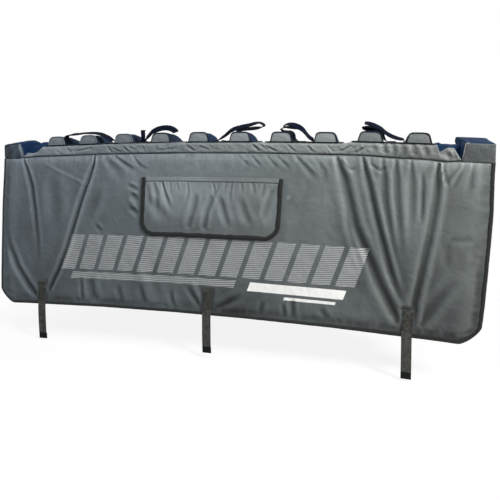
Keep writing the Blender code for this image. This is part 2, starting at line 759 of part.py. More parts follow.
FOOT = None
FRAME_STRAPS = [
    [(-0.60, FOOT, 0), (-0.88, FOOT, 0), (-0.90, -12, 0), (-0.72, 2, 8), (-0.29, 7, 20),
     (0.51, 6, 28), (1.22, 8, 26), (1.74, 7, 20), (2.18, -1, 12), (2.46, -12, 8), (2.60, -20, 0)],
    [(0.80, FOOT, 0), (0.40, FOOT, 0), (0.18, -19, 0), (0.30, -9, 20), (0.62, 4, 42),
     (1.08, 12, 50), (1.46, 16, 50), (1.84, 17, 42), (2.12, 11, 28), (2.27, 3, 10)],
    [(-0.88, FOOT, 0), (-0.44, FOOT, 0), (-0.05, -14, 6), (0.42, -4, 20), (0.84, 4, 28),
     (1.12, 9.5, 32), (1.45, 14, 32), (1.85, 19, 28), (2.23, 24, 22), (2.46, 25.5, 14),
     (2.62, 19, 8), (2.58, 11, 0), (2.35, 6.5, -8), (2.00, 6, -14), (1.60, 6, -16), (1.30, 6, -16)],
    [(0.90, FOOT, 0), (0.70, FOOT, 0), (0.50, -13, -10), (0.22, -1, -24), (-0.12, 9, -32),
     (-0.50, 15, -34), (-0.95, 19.5, -30), (-1.22, 21.5, -18), (-1.40, 18, -6), (-1.36, 14, 8),
     (-1.15, 12.5, 16), (-0.85, 11, 18)],
    [(0.93, FOOT, 0), (0.66, FOOT, 0), (0.42, -15, -14), (0.10, -8, -22), (-0.30, -3, -26),
     (-0.66, 4, -28), (-1.02, 12, -30), (-1.30, 20, -28), (-1.50, 24, -24), (-1.70, 24.5, -18)],
]
STRAP_TABS = [
    [(0.80, FOOT, 0), (0.40, FOOT, 0), (0.20, -17, 0)],
    [(-0.75, FOOT, 0), (-0.30, FOOT, 0), (-0.08, -10, 0), (0.02, 7, 0)],
    [(0.80, FOOT, 0), (0.45, FOOT, 0), (0.25, -17, 0)],
    [(0.25, FOOT, 0), (-0.45, FOOT, 0), (-0.82, -14, 0), (-0.92, -2, 0), (-1.12, 3, 0),
     (-1.35, 3, 0), (-1.50, 5, 0), (-1.54, 10, 0)],
    [(0.25, FOOT, 0), (-0.45, FOOT, 0), (-0.82, -14, 0), (-0.93, -1, -4), (-1.12, 5, -10),
     (-1.50, 5, -14), (-1.80, 6.5, -8), (-1.90, 10, 0), (-1.80, 13.5, 8), (-1.55, 13, 14),
     (-1.30, 11, 14)],
]


def strap_path(centre, points):
    """The smooth path of a frame strap, never lower than its foot."""
    route = []
    foot = BUMPER_LEVEL + WEBBING_THICKNESS / 2
    for across, height, twist in points:
        reach = min(abs(across), 1.0) * SLOT_HALF + max(0.0, abs(across) - 1.0) * BUMPER_WIDTH
        level = foot if height is FOOT else BUMPER_TOP + height * MM
        route.append((centre + math.copysign(reach, across), FRONT + STRAP_SETBACK, level, twist))
    return [(x, y, max(foot, z), twist) for x, y, z, twist in curve_points(route, 2)]


def make_frame_straps():
    for number, centre in enumerate(CRADLE_CENTRES, start=1):
        routes = {"frame_strap": FRAME_STRAPS, "strap_tab": STRAP_TABS}
        for kind, designs in routes.items():
            design = designs[(number - 1) % len(designs)]
            make_webbing(f"{kind}_{number}", strap_path(centre, design), "strap_webbing", place)


def make_cradles():
    bumper = 0
    for number, centre in enumerate(CRADLE_CENTRES, start=1):
        make_cradle_base(f"cradle_base_{number}", centre)
        for side in (-1, 1):
            bumper += 1
            make_bumper(f"frame_bumper_{bumper}", centre + side * PITCH / 2)


clear_scene()
make_collar()
make_end_block("end_block_left", -1)
make_end_block("end_block_right", 1)
make_cradles()
make_frame_straps()
make_outer_panel()
make_inner_panel()
make_access_flap()
for side_name, strap_x in zip(("left", "middle", "right"), strap_centres()):
    make_lower_strap(f"lower_strap_{side_name}", strap_x)
    make_buckle(f"buckle_{side_name}", strap_x)
    make_buckle_tab(f"buckle_tab_{side_name}", strap_x)
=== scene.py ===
"""Looks of the tailgate bike pad. Metres, +Z up, front towards -Y, the origin in the middle of the
collar's underside. Every piece is drawn flat and level, then placed over the tailgate's arch."""
import math

import bpy
import numpy as np
from mathutils import Matrix, Vector


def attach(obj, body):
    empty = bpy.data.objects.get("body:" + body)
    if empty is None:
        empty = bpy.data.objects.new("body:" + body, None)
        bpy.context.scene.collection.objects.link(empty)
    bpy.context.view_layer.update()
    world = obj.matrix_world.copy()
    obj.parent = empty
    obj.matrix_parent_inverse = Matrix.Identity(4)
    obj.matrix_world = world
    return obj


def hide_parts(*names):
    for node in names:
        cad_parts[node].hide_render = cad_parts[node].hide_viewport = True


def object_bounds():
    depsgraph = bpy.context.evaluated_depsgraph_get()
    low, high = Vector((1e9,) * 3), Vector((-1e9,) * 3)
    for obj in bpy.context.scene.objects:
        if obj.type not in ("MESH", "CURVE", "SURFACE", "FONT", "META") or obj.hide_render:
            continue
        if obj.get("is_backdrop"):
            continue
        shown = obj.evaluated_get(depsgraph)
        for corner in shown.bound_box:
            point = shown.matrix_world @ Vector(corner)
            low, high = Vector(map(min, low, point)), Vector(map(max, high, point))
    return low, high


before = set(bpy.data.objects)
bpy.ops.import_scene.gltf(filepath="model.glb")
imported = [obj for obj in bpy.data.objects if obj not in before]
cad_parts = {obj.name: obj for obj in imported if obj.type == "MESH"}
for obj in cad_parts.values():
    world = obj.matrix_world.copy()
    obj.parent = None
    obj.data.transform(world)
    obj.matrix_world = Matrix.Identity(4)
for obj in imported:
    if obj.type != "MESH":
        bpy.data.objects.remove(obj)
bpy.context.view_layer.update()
MM = 0.001

# Sizes shared with the solids
CLEARANCE = 0.0003
CROWN, CROWN_POWER = 0.0178, 1.7
PITCH, ROW_OFFSET = 0.11255, 0.0035
FRONT, REAR = -0.052, 0.052
HALF_WIDTH, BLOCK_INNER, BLOCK_WIDTH = 0.685, 0.619, 0.066
BLOCK_FRONT_HEIGHT, BLOCK_REAR_HEIGHT, BLOCK_LEAN = 0.043, 0.055, 0.009
COLLAR_HEIGHT, COLLAR_REAR_LIFT = 0.030, 0.006
GATHER_LOW, GATHER_FOLD = 0.005, 0.025
BASE_LENGTH, BASE_LEVEL, BASE_THICKNESS, BASE_SETBACK = 0.203, 0.0303, 0.003, 0.004
BUMPER_LEVEL, BUMPER_HEIGHT, BUMPER_TOP = 0.0336, 0.0245, 0.0581
BUMPER_WIDTH, BUMPER_TAIL = 0.058, 0.002
PANEL_TOP = 0.0007
PANEL_DROP, PANEL_THICKNESS, PANEL_CORNER, PANEL_SWAY = 0.450, 0.008, 0.047, 0.028
BOUND_EDGE, BINDING_WIDTH, BINDING_TAPE = 0.004, 0.012, 0.0012
FLAP_HALF, FLAP_DROP, FLAP_CORNER = 0.200, 0.165, 0.042
FLAP_OFFSET, FLAP_TOP, WINDOW_MARGIN = -0.018, -0.065, 0.045
INNER_HALF, INNER_DROP, INNER_THICKNESS, INNER_CORNER = 0.600, 0.400, 0.006, 0.040
WEBBING, WEBBING_THICKNESS = 0.025, 0.0016
STRAP_XS = [-0.538, -0.009, 0.520]
STRAP_HANG, STRAP_PATCH, STRAP_PATCH_RISE, STRAP_FOLD = 0.108, 0.058, 0.012, 0.016
STRAP_SETBACK, TAB_SEWN = 0.017, 0.040
BUCKLE_GAP, BUCKLE_BAR, BUCKLE_THICKNESS = 0.012, 0.004, 0.004
FLAP_TAPE_WIDTH, PUCKER = 0.0100, 0.0006
CRADLE_CENTRES = [ROW_OFFSET + (k - 2) * 2 * PITCH for k in range(5)]
SLOT_HALF = (PITCH - BUMPER_WIDTH) / 2
SIDES = ("left", "middle", "right")
# how far the sewn pieces stand from their even places, as in the photograph
STUFFED_LIFT = 0.0040
BUMPER_DRIFT = [0.0, -0.006, -0.005, -0.003, -0.003, 0.0015, 0.001, 0.0035, 0.002, 0.0045]
BUMPER_TAPER = [0.0045, 0.0045, 0.003, 0.002, 0.001, 0.001, 0.0, 0.0, 0.002, 0.0015]
BUMPER_TONE = [0.0, -0.05, 0.0, 0.12, 0.30, 0.34, 0.34, 0.28, -0.04, -0.06]
RIGHT_BLOCK_REACH = 0.008
BLOCK_ROUNDING = 0.0045


# Camera, at the photograph's viewing angle

CAMERA_PLACE = (0.3953, -1.3348, 0.0399)
CAMERA_TURNS = ((14.87, "Z"), (-3.63, "X"), (0.28, "Y"))  # yaw, pitch and roll in degrees

yaw, pitch, roll = (Matrix.Rotation(math.radians(angle), 3, axis) for angle, axis in CAMERA_TURNS)
turned = yaw @ pitch @ roll
right, ahead, up = (turned.col[i].copy() for i in range(3))
camera_data = bpy.data.cameras.new("camera")
camera_data.sensor_width = 36.0
camera_data.lens = 35.56
camera_data.shift_x = 0.0248
camera_data.shift_y = -0.1598
camera = bpy.data.objects.new("camera", camera_data)
facing = Matrix((right, up, -ahead)).transposed()
camera.matrix_world = Matrix.Translation(CAMERA_PLACE) @ facing.to_4x4()
bpy.context.scene.collection.objects.link(camera)
bpy.context.scene.camera = camera


# Small helpers

def step(value):
    value = np.clip(value, 0.0, 1.0)
    return value * value * (3 - 2 * value)


def lattice(ix, iy, seed):
    h = (ix.astype(np.int64) * 374761393 + iy.astype(np.int64) * 668265263 + seed * 974634777)
    h = (h ^ (h >> 13)) * 1274126177
    h = h ^ (h >> 16)
    return (h & 0xFFFF).astype(float) / 0xFFFF * 2 - 1


def noise(x, y, seed=0):
    """Smooth value noise from -1 to 1 with cells of size 1."""
    ix, iy = np.floor(x), np.floor(y)
    fx, fy = step(x - ix), step(y - iy)
    a, b = lattice(ix, iy, seed), lattice(ix + 1, iy, seed)
    c, d = lattice(ix, iy + 1, seed), lattice(ix + 1, iy + 1, seed)
    return a + (b - a) * fx + (c - a) * fy + (a - b - c + d) * fx * fy


def fractal(x, y, seed=0, octaves=3):
    total, size, weight = 0.0, 1.0, 1.0
    for k in range(octaves):
        total = total + weight * noise(x * size + 7.3 * k, y * size - 3.1 * k, seed + k)
        size, weight = size * 2.03, weight * 0.5
    return total


def arch_height(x):
    knots = [PITCH, 3 * PITCH, 5 * PITCH, HALF_WIDTH + ROW_OFFSET]
    run = knots[-1] - knots[0]
    levels = [-CROWN * ((knot - knots[0]) / run) ** CROWN_POWER for knot in knots]
    far = knots[-1] + 0.1
    knots.append(far)
    levels.append(levels[-1] + (levels[-1] - levels[-2]) * 0.1 / (knots[3] - knots[2]))
    return np.interp(np.abs(x - ROW_OFFSET), knots, levels)


def seam_sag(x):
    """How far the seam hangs below the arch, most of all beside the right block."""
    return 0.0035 * step((x - 0.38) / 0.10) + 0.0040 * np.exp(-((x - 0.572) / 0.028) ** 2)


def place(points):
    """Over the tailgate's arch. The stuffing lifts the right-hand cradle a little more."""
    points = np.array(points, float).reshape(-1, 3)
    x, z = points[:, 0].copy(), points[:, 2].copy()
    lift = STUFFED_LIFT * step((x - 0.335) / 0.016) * step((0.574 - x) / 0.016)
    risen = np.clip(z / COLLAR_HEIGHT, 0, 1)
    points[:, 2] += arch_height(x) + lift * risen - seam_sag(x) * (1 - risen)
    return points


def place_hanging(points):
    """For what hangs from the arch: its sides flare and the whole sways to the left."""
    points = np.array(points, float).reshape(-1, 3)
    level = points[:, 2].copy()
    points[:, 2] += arch_height(points[:, 0])
    x = points[:, 0].copy()
    points[:, 2] -= seam_sag(x) * np.exp(level / 0.06)
    flare = step(-level / 0.16) * (1 - 0.35 * step((-level - 0.33) / 0.10))
    points[:, 0] += flare * (0.0065 * step((x - 0.50) / 0.15) - 0.0040 * step((-x - 0.50) / 0.15))
    points[:, 0] += PANEL_SWAY * np.clip(level, -PANEL_DROP, 0.0) / PANEL_DROP
    return points


def add_piece(name, points, faces, materials, replaced, face_materials=None, flat_uv=None,
              sharp=50, shade=None):
    """Makes one mesh piece that rides on the pad's body and stands for the named nodes. shade is
    how much lighter (+) or darker (-) its cloth is at each point."""
    mesh = bpy.data.meshes.new(name)
    mesh.from_pydata(np.asarray(points, float).tolist(), [], [list(map(int, f)) for f in faces])
    mesh.validate()
    for material in materials:
        mesh.materials.append(material)
    if face_materials is not None:
        mesh.polygons.foreach_set("material_index", np.asarray(face_materials, np.int32))
    if flat_uv is not None:
        layer = mesh.uv_layers.new(name="flat")
        corners = np.zeros(len(mesh.loops), np.int32)
        mesh.loops.foreach_get("vertex_index", corners)
        layer.data.foreach_set("uv", np.asarray(flat_uv, float)[corners].astype(np.float32).ravel())
    if shade is not None:
        layer = mesh.attributes.new("shade", "FLOAT", "POINT")
        layer.data.foreach_set("value", np.asarray(shade, np.float32).ravel())
    item = bpy.data.objects.new(name, mesh)
    bpy.context.scene.collection.objects.link(item)
    mesh.shade_smooth()
    if sharp is not None:
        mesh.set_sharp_from_angle(angle=math.radians(sharp))
    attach(item, "root")
    if replaced:
        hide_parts(*replaced)
    return item


def travel(line):
    """How far along a line each of its points lies."""
    return np.concatenate([[0], np.cumsum(np.linalg.norm(np.diff(line, axis=0), axis=1))])


def tube_quads(n, m, outward=True):
    """Quads that join n rings of m points each."""
    index = np.arange(n * m).reshape(n, m)
    after = np.roll(index, -1, 1)
    corners = [index[:-1], after[:-1], after[1:], index[1:]]
    corners = corners if outward else [corners[k] for k in (0, 3, 2, 1)]
    return np.stack(corners, -1).transpose(1, 0, 2).reshape(-1, 4).tolist()


def tube_faces(n, m, outward=True):
    """The same with a face over each end."""
    first, last = list(range(m)), list(range((n - 1) * m, n * m))
    return tube_quads(n, m, outward) + ([first[::-1], last] if outward else [first, last[::-1]])


def line_field(x, z, line):
    """Distance to a broken line, signed by side, and the place along it from 0 to 1."""
    best = np.full(x.shape, 1e9)
    side = np.zeros(x.shape)
    place_along = np.zeros(x.shape)
    lengths = [math.hypot(b[0] - a[0], b[1] - a[1]) for a, b in zip(line, line[1:])]
    total, done = sum(lengths), 0.0
    for (x1, z1), (x2, z2), length in zip(line, line[1:], lengths):
        share = np.clip(((x - x1) * (x2 - x1) + (z - z1) * (z2 - z1)) / length ** 2, 0, 1)
        dx, dz = x - x1 - share * (x2 - x1), z - z1 - share * (z2 - z1)
        distance = np.hypot(dx, dz)
        nearer = distance < best
        best = np.where(nearer, distance, best)
        cross = (x2 - x1) * (z - z1) - (z2 - z1) * (x - x1)
        side = np.where(nearer, np.sign(cross), side)
        place_along = np.where(nearer, (done + share * length) / total, place_along)
        done += length
    return best, side, place_along


def fold_depth(x, z, fold):
    """A fold: a valley along a line drawn downwards, with a swelling to its right and one to its
    left. It tapers towards both of its ends."""
    line, width, depth, right_ridge, left_ridge, fade_in, fade_out = fold
    away, side, along = line_field(x, z, line)
    taper = step(along / fade_in + 0.06) * step((1 - along) / fade_out + 0.06)
    across = away * side / (width * (0.5 + 0.5 * step(-z / 70)))
    valley = depth * np.exp(-across ** 2)
    swelling = (right_ridge * np.exp(-((across - 1.55) / 0.90) ** 2)
                + left_ridge * np.exp(-((across + 1.60) / 1.00) ** 2))
    return (valley - swelling) * taper


def smoothed(values, reach):
    """A grid of values averaged over a square of 2 * reach + 1 points."""
    for axis in (0, 1):
        padded = np.pad(values, [(reach + 1, reach) if k == axis else (0, 0) for k in (0, 1)],
                        mode="edge")
        total = np.cumsum(padded, axis=axis)
        upper = np.take(total, range(2 * reach + 1, total.shape[axis]), axis=axis)
        lower = np.take(total, range(0, total.shape[axis] - 2 * reach - 1), axis=axis)
        values = (upper - lower) / (2 * reach + 1)
    return values


def hollow_shade(depth, reach, strength):
    """Painted light and shade: pale on what stands out of a cloth and dark in its hollows."""
    hollow = (depth - smoothed(depth, reach)) / MM
    return -strength * np.tanh(hollow)


# Materials

class Graph:
    """The node tree of a material or a world, with short ways to add nodes and join them."""

    def __init__(self, owner):
        owner.use_nodes = True
        self.nodes, self.links = owner.node_tree.nodes, owner.node_tree.links

    def feed(self, socket, value):
        if isinstance(value, bpy.types.NodeSocket):
            self.links.new(value, socket)
        elif value is not None:
            socket.default_value = value

    def add(self, kind, feeds=(), **settings):
        """A new node's outputs. feeds has, for an input, its value or the output it is linked to."""
        node = self.nodes.new("ShaderNode" + kind)
        for name, value in settings.items():
            setattr(node, name, value)
        for name, value in dict(feeds).items():
            self.feed(node.inputs[name], value)
        return node.outputs

    def shade(self, feeds, name="Principled BSDF"):
        for socket, value in feeds.items():
            self.feed(self.nodes[name].inputs[socket], value)

    def math(self, operation, *values, clamp=False):
        return self.add("Math", enumerate(values), operation=operation, use_clamp=clamp)[0]

    def noise(self, vector, scale, detail=2.0, distortion=0.0):
        return self.add("TexNoise", {"Vector": vector, "Scale": scale, "Detail": detail,
                                     "Distortion": distortion})["Fac"]

    def ramp(self, value, low, high, start=0.0, end=1.0):
        node = self.nodes.new("ShaderNodeValToRGB")
        for element, colour, position in zip(node.color_ramp.elements, (low, high), (start, end)):
            element.position, element.color = position, (*colour, 1)
        self.feed(node.inputs["Fac"], value)
        return node.outputs["Color"]

    def bump(self, height, strength, distance, normal=None):
        return self.add("Bump", {"Height": height, "Strength": strength, "Distance": distance,
                                 "Normal": normal})["Normal"]

    def mix(self, share, a, b):
        return self.add("Mix", {"Factor": share, "A": a, "B": b}, data_type="RGBA")["Result"]

    def flat_place(self):
        return self.add("SeparateXYZ", {"Vector": self.add("UVMap", uv_map="flat")["UV"]})


def new_material(name):
    material = bpy.data.materials.new(name)
    return material, Graph(material)


def painted_light_tint(graph, position, mottle):
    """The light's tint, painted into the cloth: cooler at the pad's left end and warmer at its right.
    """
    along = graph.add("MapRange", {"Value": graph.add("SeparateXYZ", {"Vector": position})["X"],
                                   "From Min": -0.62, "From Max": 0.52})["Result"]
    share = graph.math("ADD", along, graph.math("MULTIPLY_ADD", mottle, 0.5, -0.25))
    return graph.ramp(share, (0.97, 1.0, 1.09), (1.045, 1.0, 0.955))


def cloth_material(name, colour, roughness, vary=0.06, crinkle=0.25, weave=1500.0, weave_bump=0.04,
                   sheen=0.0, specular=0.32, crinkle_size=28.0):
    """Coated or plain cloth: a fine weave, soft crinkles and slight changes of colour."""
    material, graph = new_material(name)
    position = graph.add("TexCoord")["Object"]
    large, fine = graph.noise(position, 5.0, 3.0), graph.noise(position, 130.0)
    dark, light = ([min(1.0, c * share) for c in colour] for share in (1 - vary, 1 + vary))
    cloth = graph.ramp(graph.math("MULTIPLY_ADD", fine, 0.3, large), dark, light, 0.42, 0.88)
    # the shade attribute brings in each piece's painted light and shade, with the panel's stain, then
    # the painted tint of the light
    tone = graph.math("ADD", graph.add("Attribute", attribute_name="shade")["Fac"], 1.0)
    toned = graph.add("VectorMath", {0: cloth, "Scale": tone}, operation="SCALE")["Vector"]
    tinted = graph.add("VectorMath", {0: toned, 1: painted_light_tint(graph, position, large)},
                       operation="MULTIPLY")["Vector"]
    rough = graph.add("MapRange", {"Value": fine, "To Min": roughness - 0.05,
                                   "To Max": roughness + 0.07})["Result"]
    # the weave, as crossing threads, and the crinkles
    at = graph.add("SeparateXYZ", {"Vector": position})
    across = graph.math("ADD", at["X"], at["Y"])
    warp, weft = (graph.math("SINE", graph.math("MULTIPLY", value, weave * 2))
                  for value in (across, at["Z"]))
    crinkled = graph.bump(graph.noise(position, crinkle_size, 4.0, 0.9), crinkle, 0.006)
    woven = graph.bump(graph.math("MULTIPLY", warp, weft), weave_bump, 0.0003, crinkled)
    graph.shade({"Base Color": tinted, "Roughness": rough, "Normal": woven,
                 "Specular IOR Level": specular})
    if sheen:
        graph.shade({"Sheen Weight": sheen, "Sheen Roughness": 0.5})
    return material


GREY = (0.090, 0.104, 0.108)
NYLON = cloth_material("coated_nylon", GREY, 0.50, vary=0.12, specular=0.22)
FLAP_NYLON = cloth_material("flap_nylon", (0.118, 0.134, 0.138), 0.46, vary=0.14, specular=0.25)
COLLAR_NYLON = cloth_material("collar_nylon", (0.147, 0.165, 0.169), 0.48, vary=0.14, crinkle=0.7,
                              crinkle_size=52, specular=0.22)
FACE_NYLON = cloth_material("bumper_face", (0.140, 0.158, 0.166), 0.55, vary=0.10, crinkle=0.3,
                            crinkle_size=60, specular=0.2)
LEFT_BLOCK = cloth_material("left_block_face", (0.044, 0.056, 0.064), 0.48, vary=0.3, crinkle=0.8,
                            crinkle_size=30, specular=0.18)
RIGHT_BLOCK = cloth_material("right_block_face", (0.060, 0.069, 0.074), 0.50, vary=0.2, crinkle=0.5,
                             crinkle_size=40, specular=0.18)
# the navy and the gussets' dark slate are the same cloth as the grey faces, painted as it looks in
# shade and reflecting the sky: painted shade and painted sky reflection
SHADED_NAVY = cloth_material("navy_nylon", (0.006, 0.018, 0.046), 0.60, vary=0.3, crinkle=0.4,
                      crinkle_size=50, specular=0.02)
SHADED_GUSSET = cloth_material("gusset_painted_shade", (0.011, 0.020, 0.036), 0.60, vary=0.3, crinkle=0.4,
                        crinkle_size=50, specular=0.02)
PIPING = cloth_material("piping", (0.009, 0.013, 0.024), 0.7, crinkle=0.1, weave=4000,
                        specular=0.05)
TAPE = cloth_material("edge_tape", (0.042, 0.046, 0.044), 0.75, crinkle=0.2, weave=3000,
                      weave_bump=0.35, sheen=0.05, specular=0.12)
BASE = cloth_material("base_pad", (0.020, 0.025, 0.028), 0.8, crinkle=0.2, weave=2500,
                      weave_bump=0.2, specular=0.08)
THREAD = cloth_material("thread", (0.014, 0.016, 0.016), 0.6, crinkle=0.0, weave=9000)


WEBBING_RIBS, WEBBING_CORDS = 3740.0, 2720.0


def webbing_material(name, colour, glint, specular=0.04, dark_from=None):
    """Woven webbing: ribs across it, cords along it and mottled, painted glints. From dark_from on,
    in metres along it, it is the dark, folded end."""
    material, graph = new_material(name)
    at = graph.flat_place()
    ribs, cords = (graph.math("SINE", graph.math("MULTIPLY", at[axis], count))
                   for axis, count in (("Y", WEBBING_RIBS), ("X", WEBBING_CORDS)))
    weave = graph.math("ADD", ribs, graph.math("MULTIPLY", cords, 0.5))
    mottling = graph.noise(graph.add("TexCoord")["Object"], 90.0, 3.0)
    # the glint colour is a painted glint, mixed in by the mottling
    shown = graph.ramp(graph.math("MULTIPLY_ADD", weave, 0.08, mottling), colour, glint, 0.35, 0.75)
    if dark_from is not None:
        past = graph.math("GREATER_THAN", at["Y"], dark_from)
        shown = graph.mix(past, shown, (0.012, 0.015, 0.014, 1))
    graph.shade({"Base Color": shown, "Roughness": 0.7, "Specular IOR Level": specular,
                 "Normal": graph.bump(weave, 0.6, 0.0004)})
    return material


STRAP_WEB = webbing_material("lower_webbing", (0.044, 0.046, 0.041), (0.096, 0.096, 0.086),
                             dark_from=0.160)
FRAME_WEB = webbing_material("frame_webbing", (0.0012, 0.0022, 0.0065), (0.0055, 0.009, 0.020),
                             specular=0.02)


# Sheets: padded panels drawn as fine grids

def outline_bottom(x, half, drop, corner, power=2.0):
    past = np.clip((np.abs(x) - (half - corner)) / corner, 0, 1)
    return -drop + corner * (1 - (1 - past ** power) ** (1 / power))


def edge_distance(x, z, half, drop, corner, power=2.0):
    past, below = np.abs(x) - (half - corner), -z - (drop - corner)
    inside = np.minimum(half - np.abs(x), drop + z)
    reach = (np.maximum(past, 0) ** power + np.maximum(below, 0) ** power) ** (1 / power)
    return np.where((past > 0) & (below > 0), corner - reach, inside)


def grid_columns(half, corner, spacing, extra=()):
    turns = np.radians(np.linspace(0, 90, 13))
    arc = half - corner + corner * np.sin(turns)
    inner = [-(half - corner), *sorted(extra), half - corner]
    runs = [np.linspace(a, b, max(2, round((b - a) / spacing) + 1)) for a, b in zip(inner, inner[1:])]
    return np.unique(np.round(np.concatenate([-arc, *runs, arc]), 7))


def grid_rows(marks, spacing, drop):
    runs = [np.linspace(a, b, max(2, round((b - a) * drop / spacing) + 1))
            for a, b in zip(marks, marks[1:])]
    return np.unique(np.round(np.concatenate(runs), 7))


def build_sheet(name, centre, top, size, columns, rows, front_at, back_at, window, materials,
                replaced, placing, shade_at=None, power=2.0):
    half, drop, corner = size
    X, S = np.meshgrid(columns, rows, indexing="ij")
    Z = outline_bottom(X, half, drop, corner, power) * S
    front, back = front_at(X, Z), back_at(X, Z)
    n, m = X.shape
    flat = np.stack([X + centre, Z + top], -1)
    points = np.concatenate([
        np.stack([X + centre, front, Z + top], -1).reshape(-1, 3),
        np.stack([X + centre, back, Z + top], -1).reshape(-1, 3)])
    index = np.arange(n * m).reshape(n, m)
    keep = np.ones((n - 1, m - 1), bool)
    if window:
        mx = (columns[:-1] + columns[1:])[:, None] / 2
        mz = -drop * (rows[:-1] + rows[1:])[None, :] / 2
        keep &= ~((mx > window[0]) & (mx < window[1]) & (mz < window[2]) & (mz > window[3]))
    a, b = index[:-1, :-1][keep], index[1:, :-1][keep]
    c, d = index[1:, 1:][keep], index[:-1, 1:][keep]
    layer = n * m
    faces = [np.stack([a, d, c, b], 1), np.stack([a, b, c, d], 1) + layer]
    padded = np.pad(keep, 1)
    inner = padded[1:-1, 1:-1]
    for shift, first, second in (((1, 0), (0, 0), (0, 1)), ((-1, 0), (1, 1), (1, 0)),
                                 ((0, 1), (1, 0), (0, 0)), ((0, -1), (0, 1), (1, 1))):
        beside = np.roll(padded, shift, (0, 1))[1:-1, 1:-1]
        rim = inner & ~beside
        i, j = np.nonzero(rim)
        p, q = index[i + first[0], j + first[1]], index[i + second[0], j + second[1]]
        faces.append(np.stack([p, q, q + layer, p + layer], 1)[:, ::-1])
    faces = np.concatenate(faces)
    used = np.unique(faces)
    lookup = np.zeros(2 * layer, int)
    lookup[used] = np.arange(len(used))
    uv = np.concatenate([flat.reshape(-1, 2)] * 2)[used]
    shade = None
    if shade_at:
        shade = np.concatenate([shade_at(X, Z, front).reshape(-1)] * 2)[used]
    return add_piece(name, placing(points[used]), lookup[faces], materials, replaced,
                     flat_uv=uv, shade=shade)


def sheet_rim(centre, top, size, spacing, power=2.0):
    """Points along the sheet's free edge: down the left side, along the bottom, up the right."""
    half, drop, corner = size
    side = np.linspace(0, -(drop - corner), round((drop - corner) / spacing) + 1)
    turns = np.radians(np.linspace(0, 90, 13))[1:-1]
    left = [(-half, z) for z in side]
    for turn in turns:
        past = math.cos(turn)
        below = (1 - past ** power) ** (1 / power)
        left.append((-(half - corner) - corner * past, -(drop - corner) - corner * below))
    bottom = [(x, -drop) for x in np.linspace(-(half - corner), half - corner,
                                              round(2 * (half - corner) / spacing) + 1)]
    right_side = [(-x, z) for x, z in reversed(left)]
    return np.array([(x + centre, z + top) for x, z in left + bottom + right_side])


def rim_inward(rim):
    """The way from the rim into the sheet, at each point of the rim."""
    along = np.gradient(rim, axis=0)
    along /= np.linalg.norm(along, axis=1)[:, None]
    return np.stack([-along[:, 1], along[:, 0]], 1)


def build_binding(name, rim, front, back, width, replaced, placing, seed=3, shade=None):
    """Tape folded round the edge: a rounded U with small puckers along its inner lines. width is
    one value, or one for each point of the rim."""
    inward, travelled = rim_inward(rim), travel(rim)
    width = np.zeros(len(rim)) + width
    tape, gap = BINDING_TAPE, CLEARANCE
    middle = (front + back) / 2
    radius_y, radius_x = (back - front) / 2 + gap + tape, tape + gap
    # the U section as (share of the width, reach past it, y)
    section = [(1, 0, front - gap), (1, 0, front - gap - 0.6 * tape),
               (1, -0.5 * MM, front - gap - tape), (0.5, 0, front - gap - 1.25 * tape),
               (0.12, 0, front - gap - tape)]
    for angle in np.radians(np.linspace(-60, 60, 5)):
        section.append((0, -radius_x * math.cos(angle), middle + radius_y * math.sin(angle)))
    section += [(0.12, 0, back + gap + tape), (0.5, 0, back + gap + 1.25 * tape),
                (1, -0.5 * MM, back + gap + tape), (1, 0, back + gap + 0.6 * tape),
                (1, 0, back + gap), (0, -gap, back + gap), (0, -gap, front - gap)]
    wave = fractal(travelled / 0.016, travelled * 0, seed, 2) * PUCKER
    rings = []
    for share, past, y in section:
        wander = wave * (1.6 if share > 0.3 else 0.4)
        outward = wave * (1.0 if y < middle else -1.0) * (0.8 if share == 0.5 else 0.2)
        p = rim + inward * (share * width + past + wander)[:, None]
        rings.append(np.stack([p[:, 0], y - outward, p[:, 1]], 1))
    points = np.stack(rings, 1).reshape(-1, 3)
    if shade is not None:
        shade = np.repeat(shade, len(section))
    add_piece(name, placing(points), tube_faces(len(rim), len(section)), [TAPE], replaced,
              sharp=60, shade=shade)


# Stitches, as short rounded bars of thread lying on a surface

def build_stitches(name, runs, placing, normal=(0, -1, 0), length=3.2 * MM, pitch=4.2 * MM,
                   width=0.7 * MM):
    """runs are lists of (x, y, z) on the flat pad; each becomes a line of stitches."""
    points, faces = [], []
    out = np.array(normal, float)
    for run in runs:
        run = np.array(run, float)
        total = travel(run)
        for mark in np.arange(pitch / 2, total[-1] - pitch / 2 + 1e-9, pitch):
            ends = [np.array([np.interp(mark + s * length / 2, total, run[:, i]) for i in range(3)])
                    for s in (-1, 1)]
            along = ends[1] - ends[0]
            along /= max(np.linalg.norm(along), 1e-9)
            side = np.cross(along, out)
            side /= max(np.linalg.norm(side), 1e-9)
            start = len(points)
            middle = (ends[0] + ends[1]) / 2
            for centre, scale, lift in ((ends[0], 0.35, 0.02),
                                        (middle - 0.3 * (middle - ends[0]), 1, 0.5),
                                        (middle + 0.3 * (ends[1] - middle), 1, 0.5),
                                        (ends[1], 0.35, 0.02)):
                for a, b in ((-0.5, 0.0), (0.0, 1.0), (0.5, 0.0)):
                    points.append(centre + side * a * width * scale
                                  + out * width * (b * 0.55 * scale + lift * 0.2))
            for p in range(start, start + 9, 3):
                faces += [(p, p + 1, p + 4, p + 3), (p + 1, p + 2, p + 5, p + 4),
                          (p + 2, p, p + 3, p + 5)]
            faces += [(start, start + 2, start + 1), (start + 9, start + 10, start + 11)]
    add_piece(name, placing(points), faces, [THREAD], (), sharp=None)


def stitch_binding(name, rim, inset, surface, placing, normal=(0, -1, 0)):
    """One row of stitches along a binding, that far in from the rim."""
    line = rim + rim_inward(rim) * (np.zeros(len(rim)) + inset)[:, None]
    run = np.stack([line[:, 0], np.full(len(line), surface), line[:, 1]], 1)
    build_stitches(name, [run], placing, normal)


# Outer panel. A fold is a line (x, z) in panel millimetres, drawn downwards, with its width, the
# depth of its valley, the swelling to its right and to its left, and how slowly it fades in at the
# line's start and out at its end.

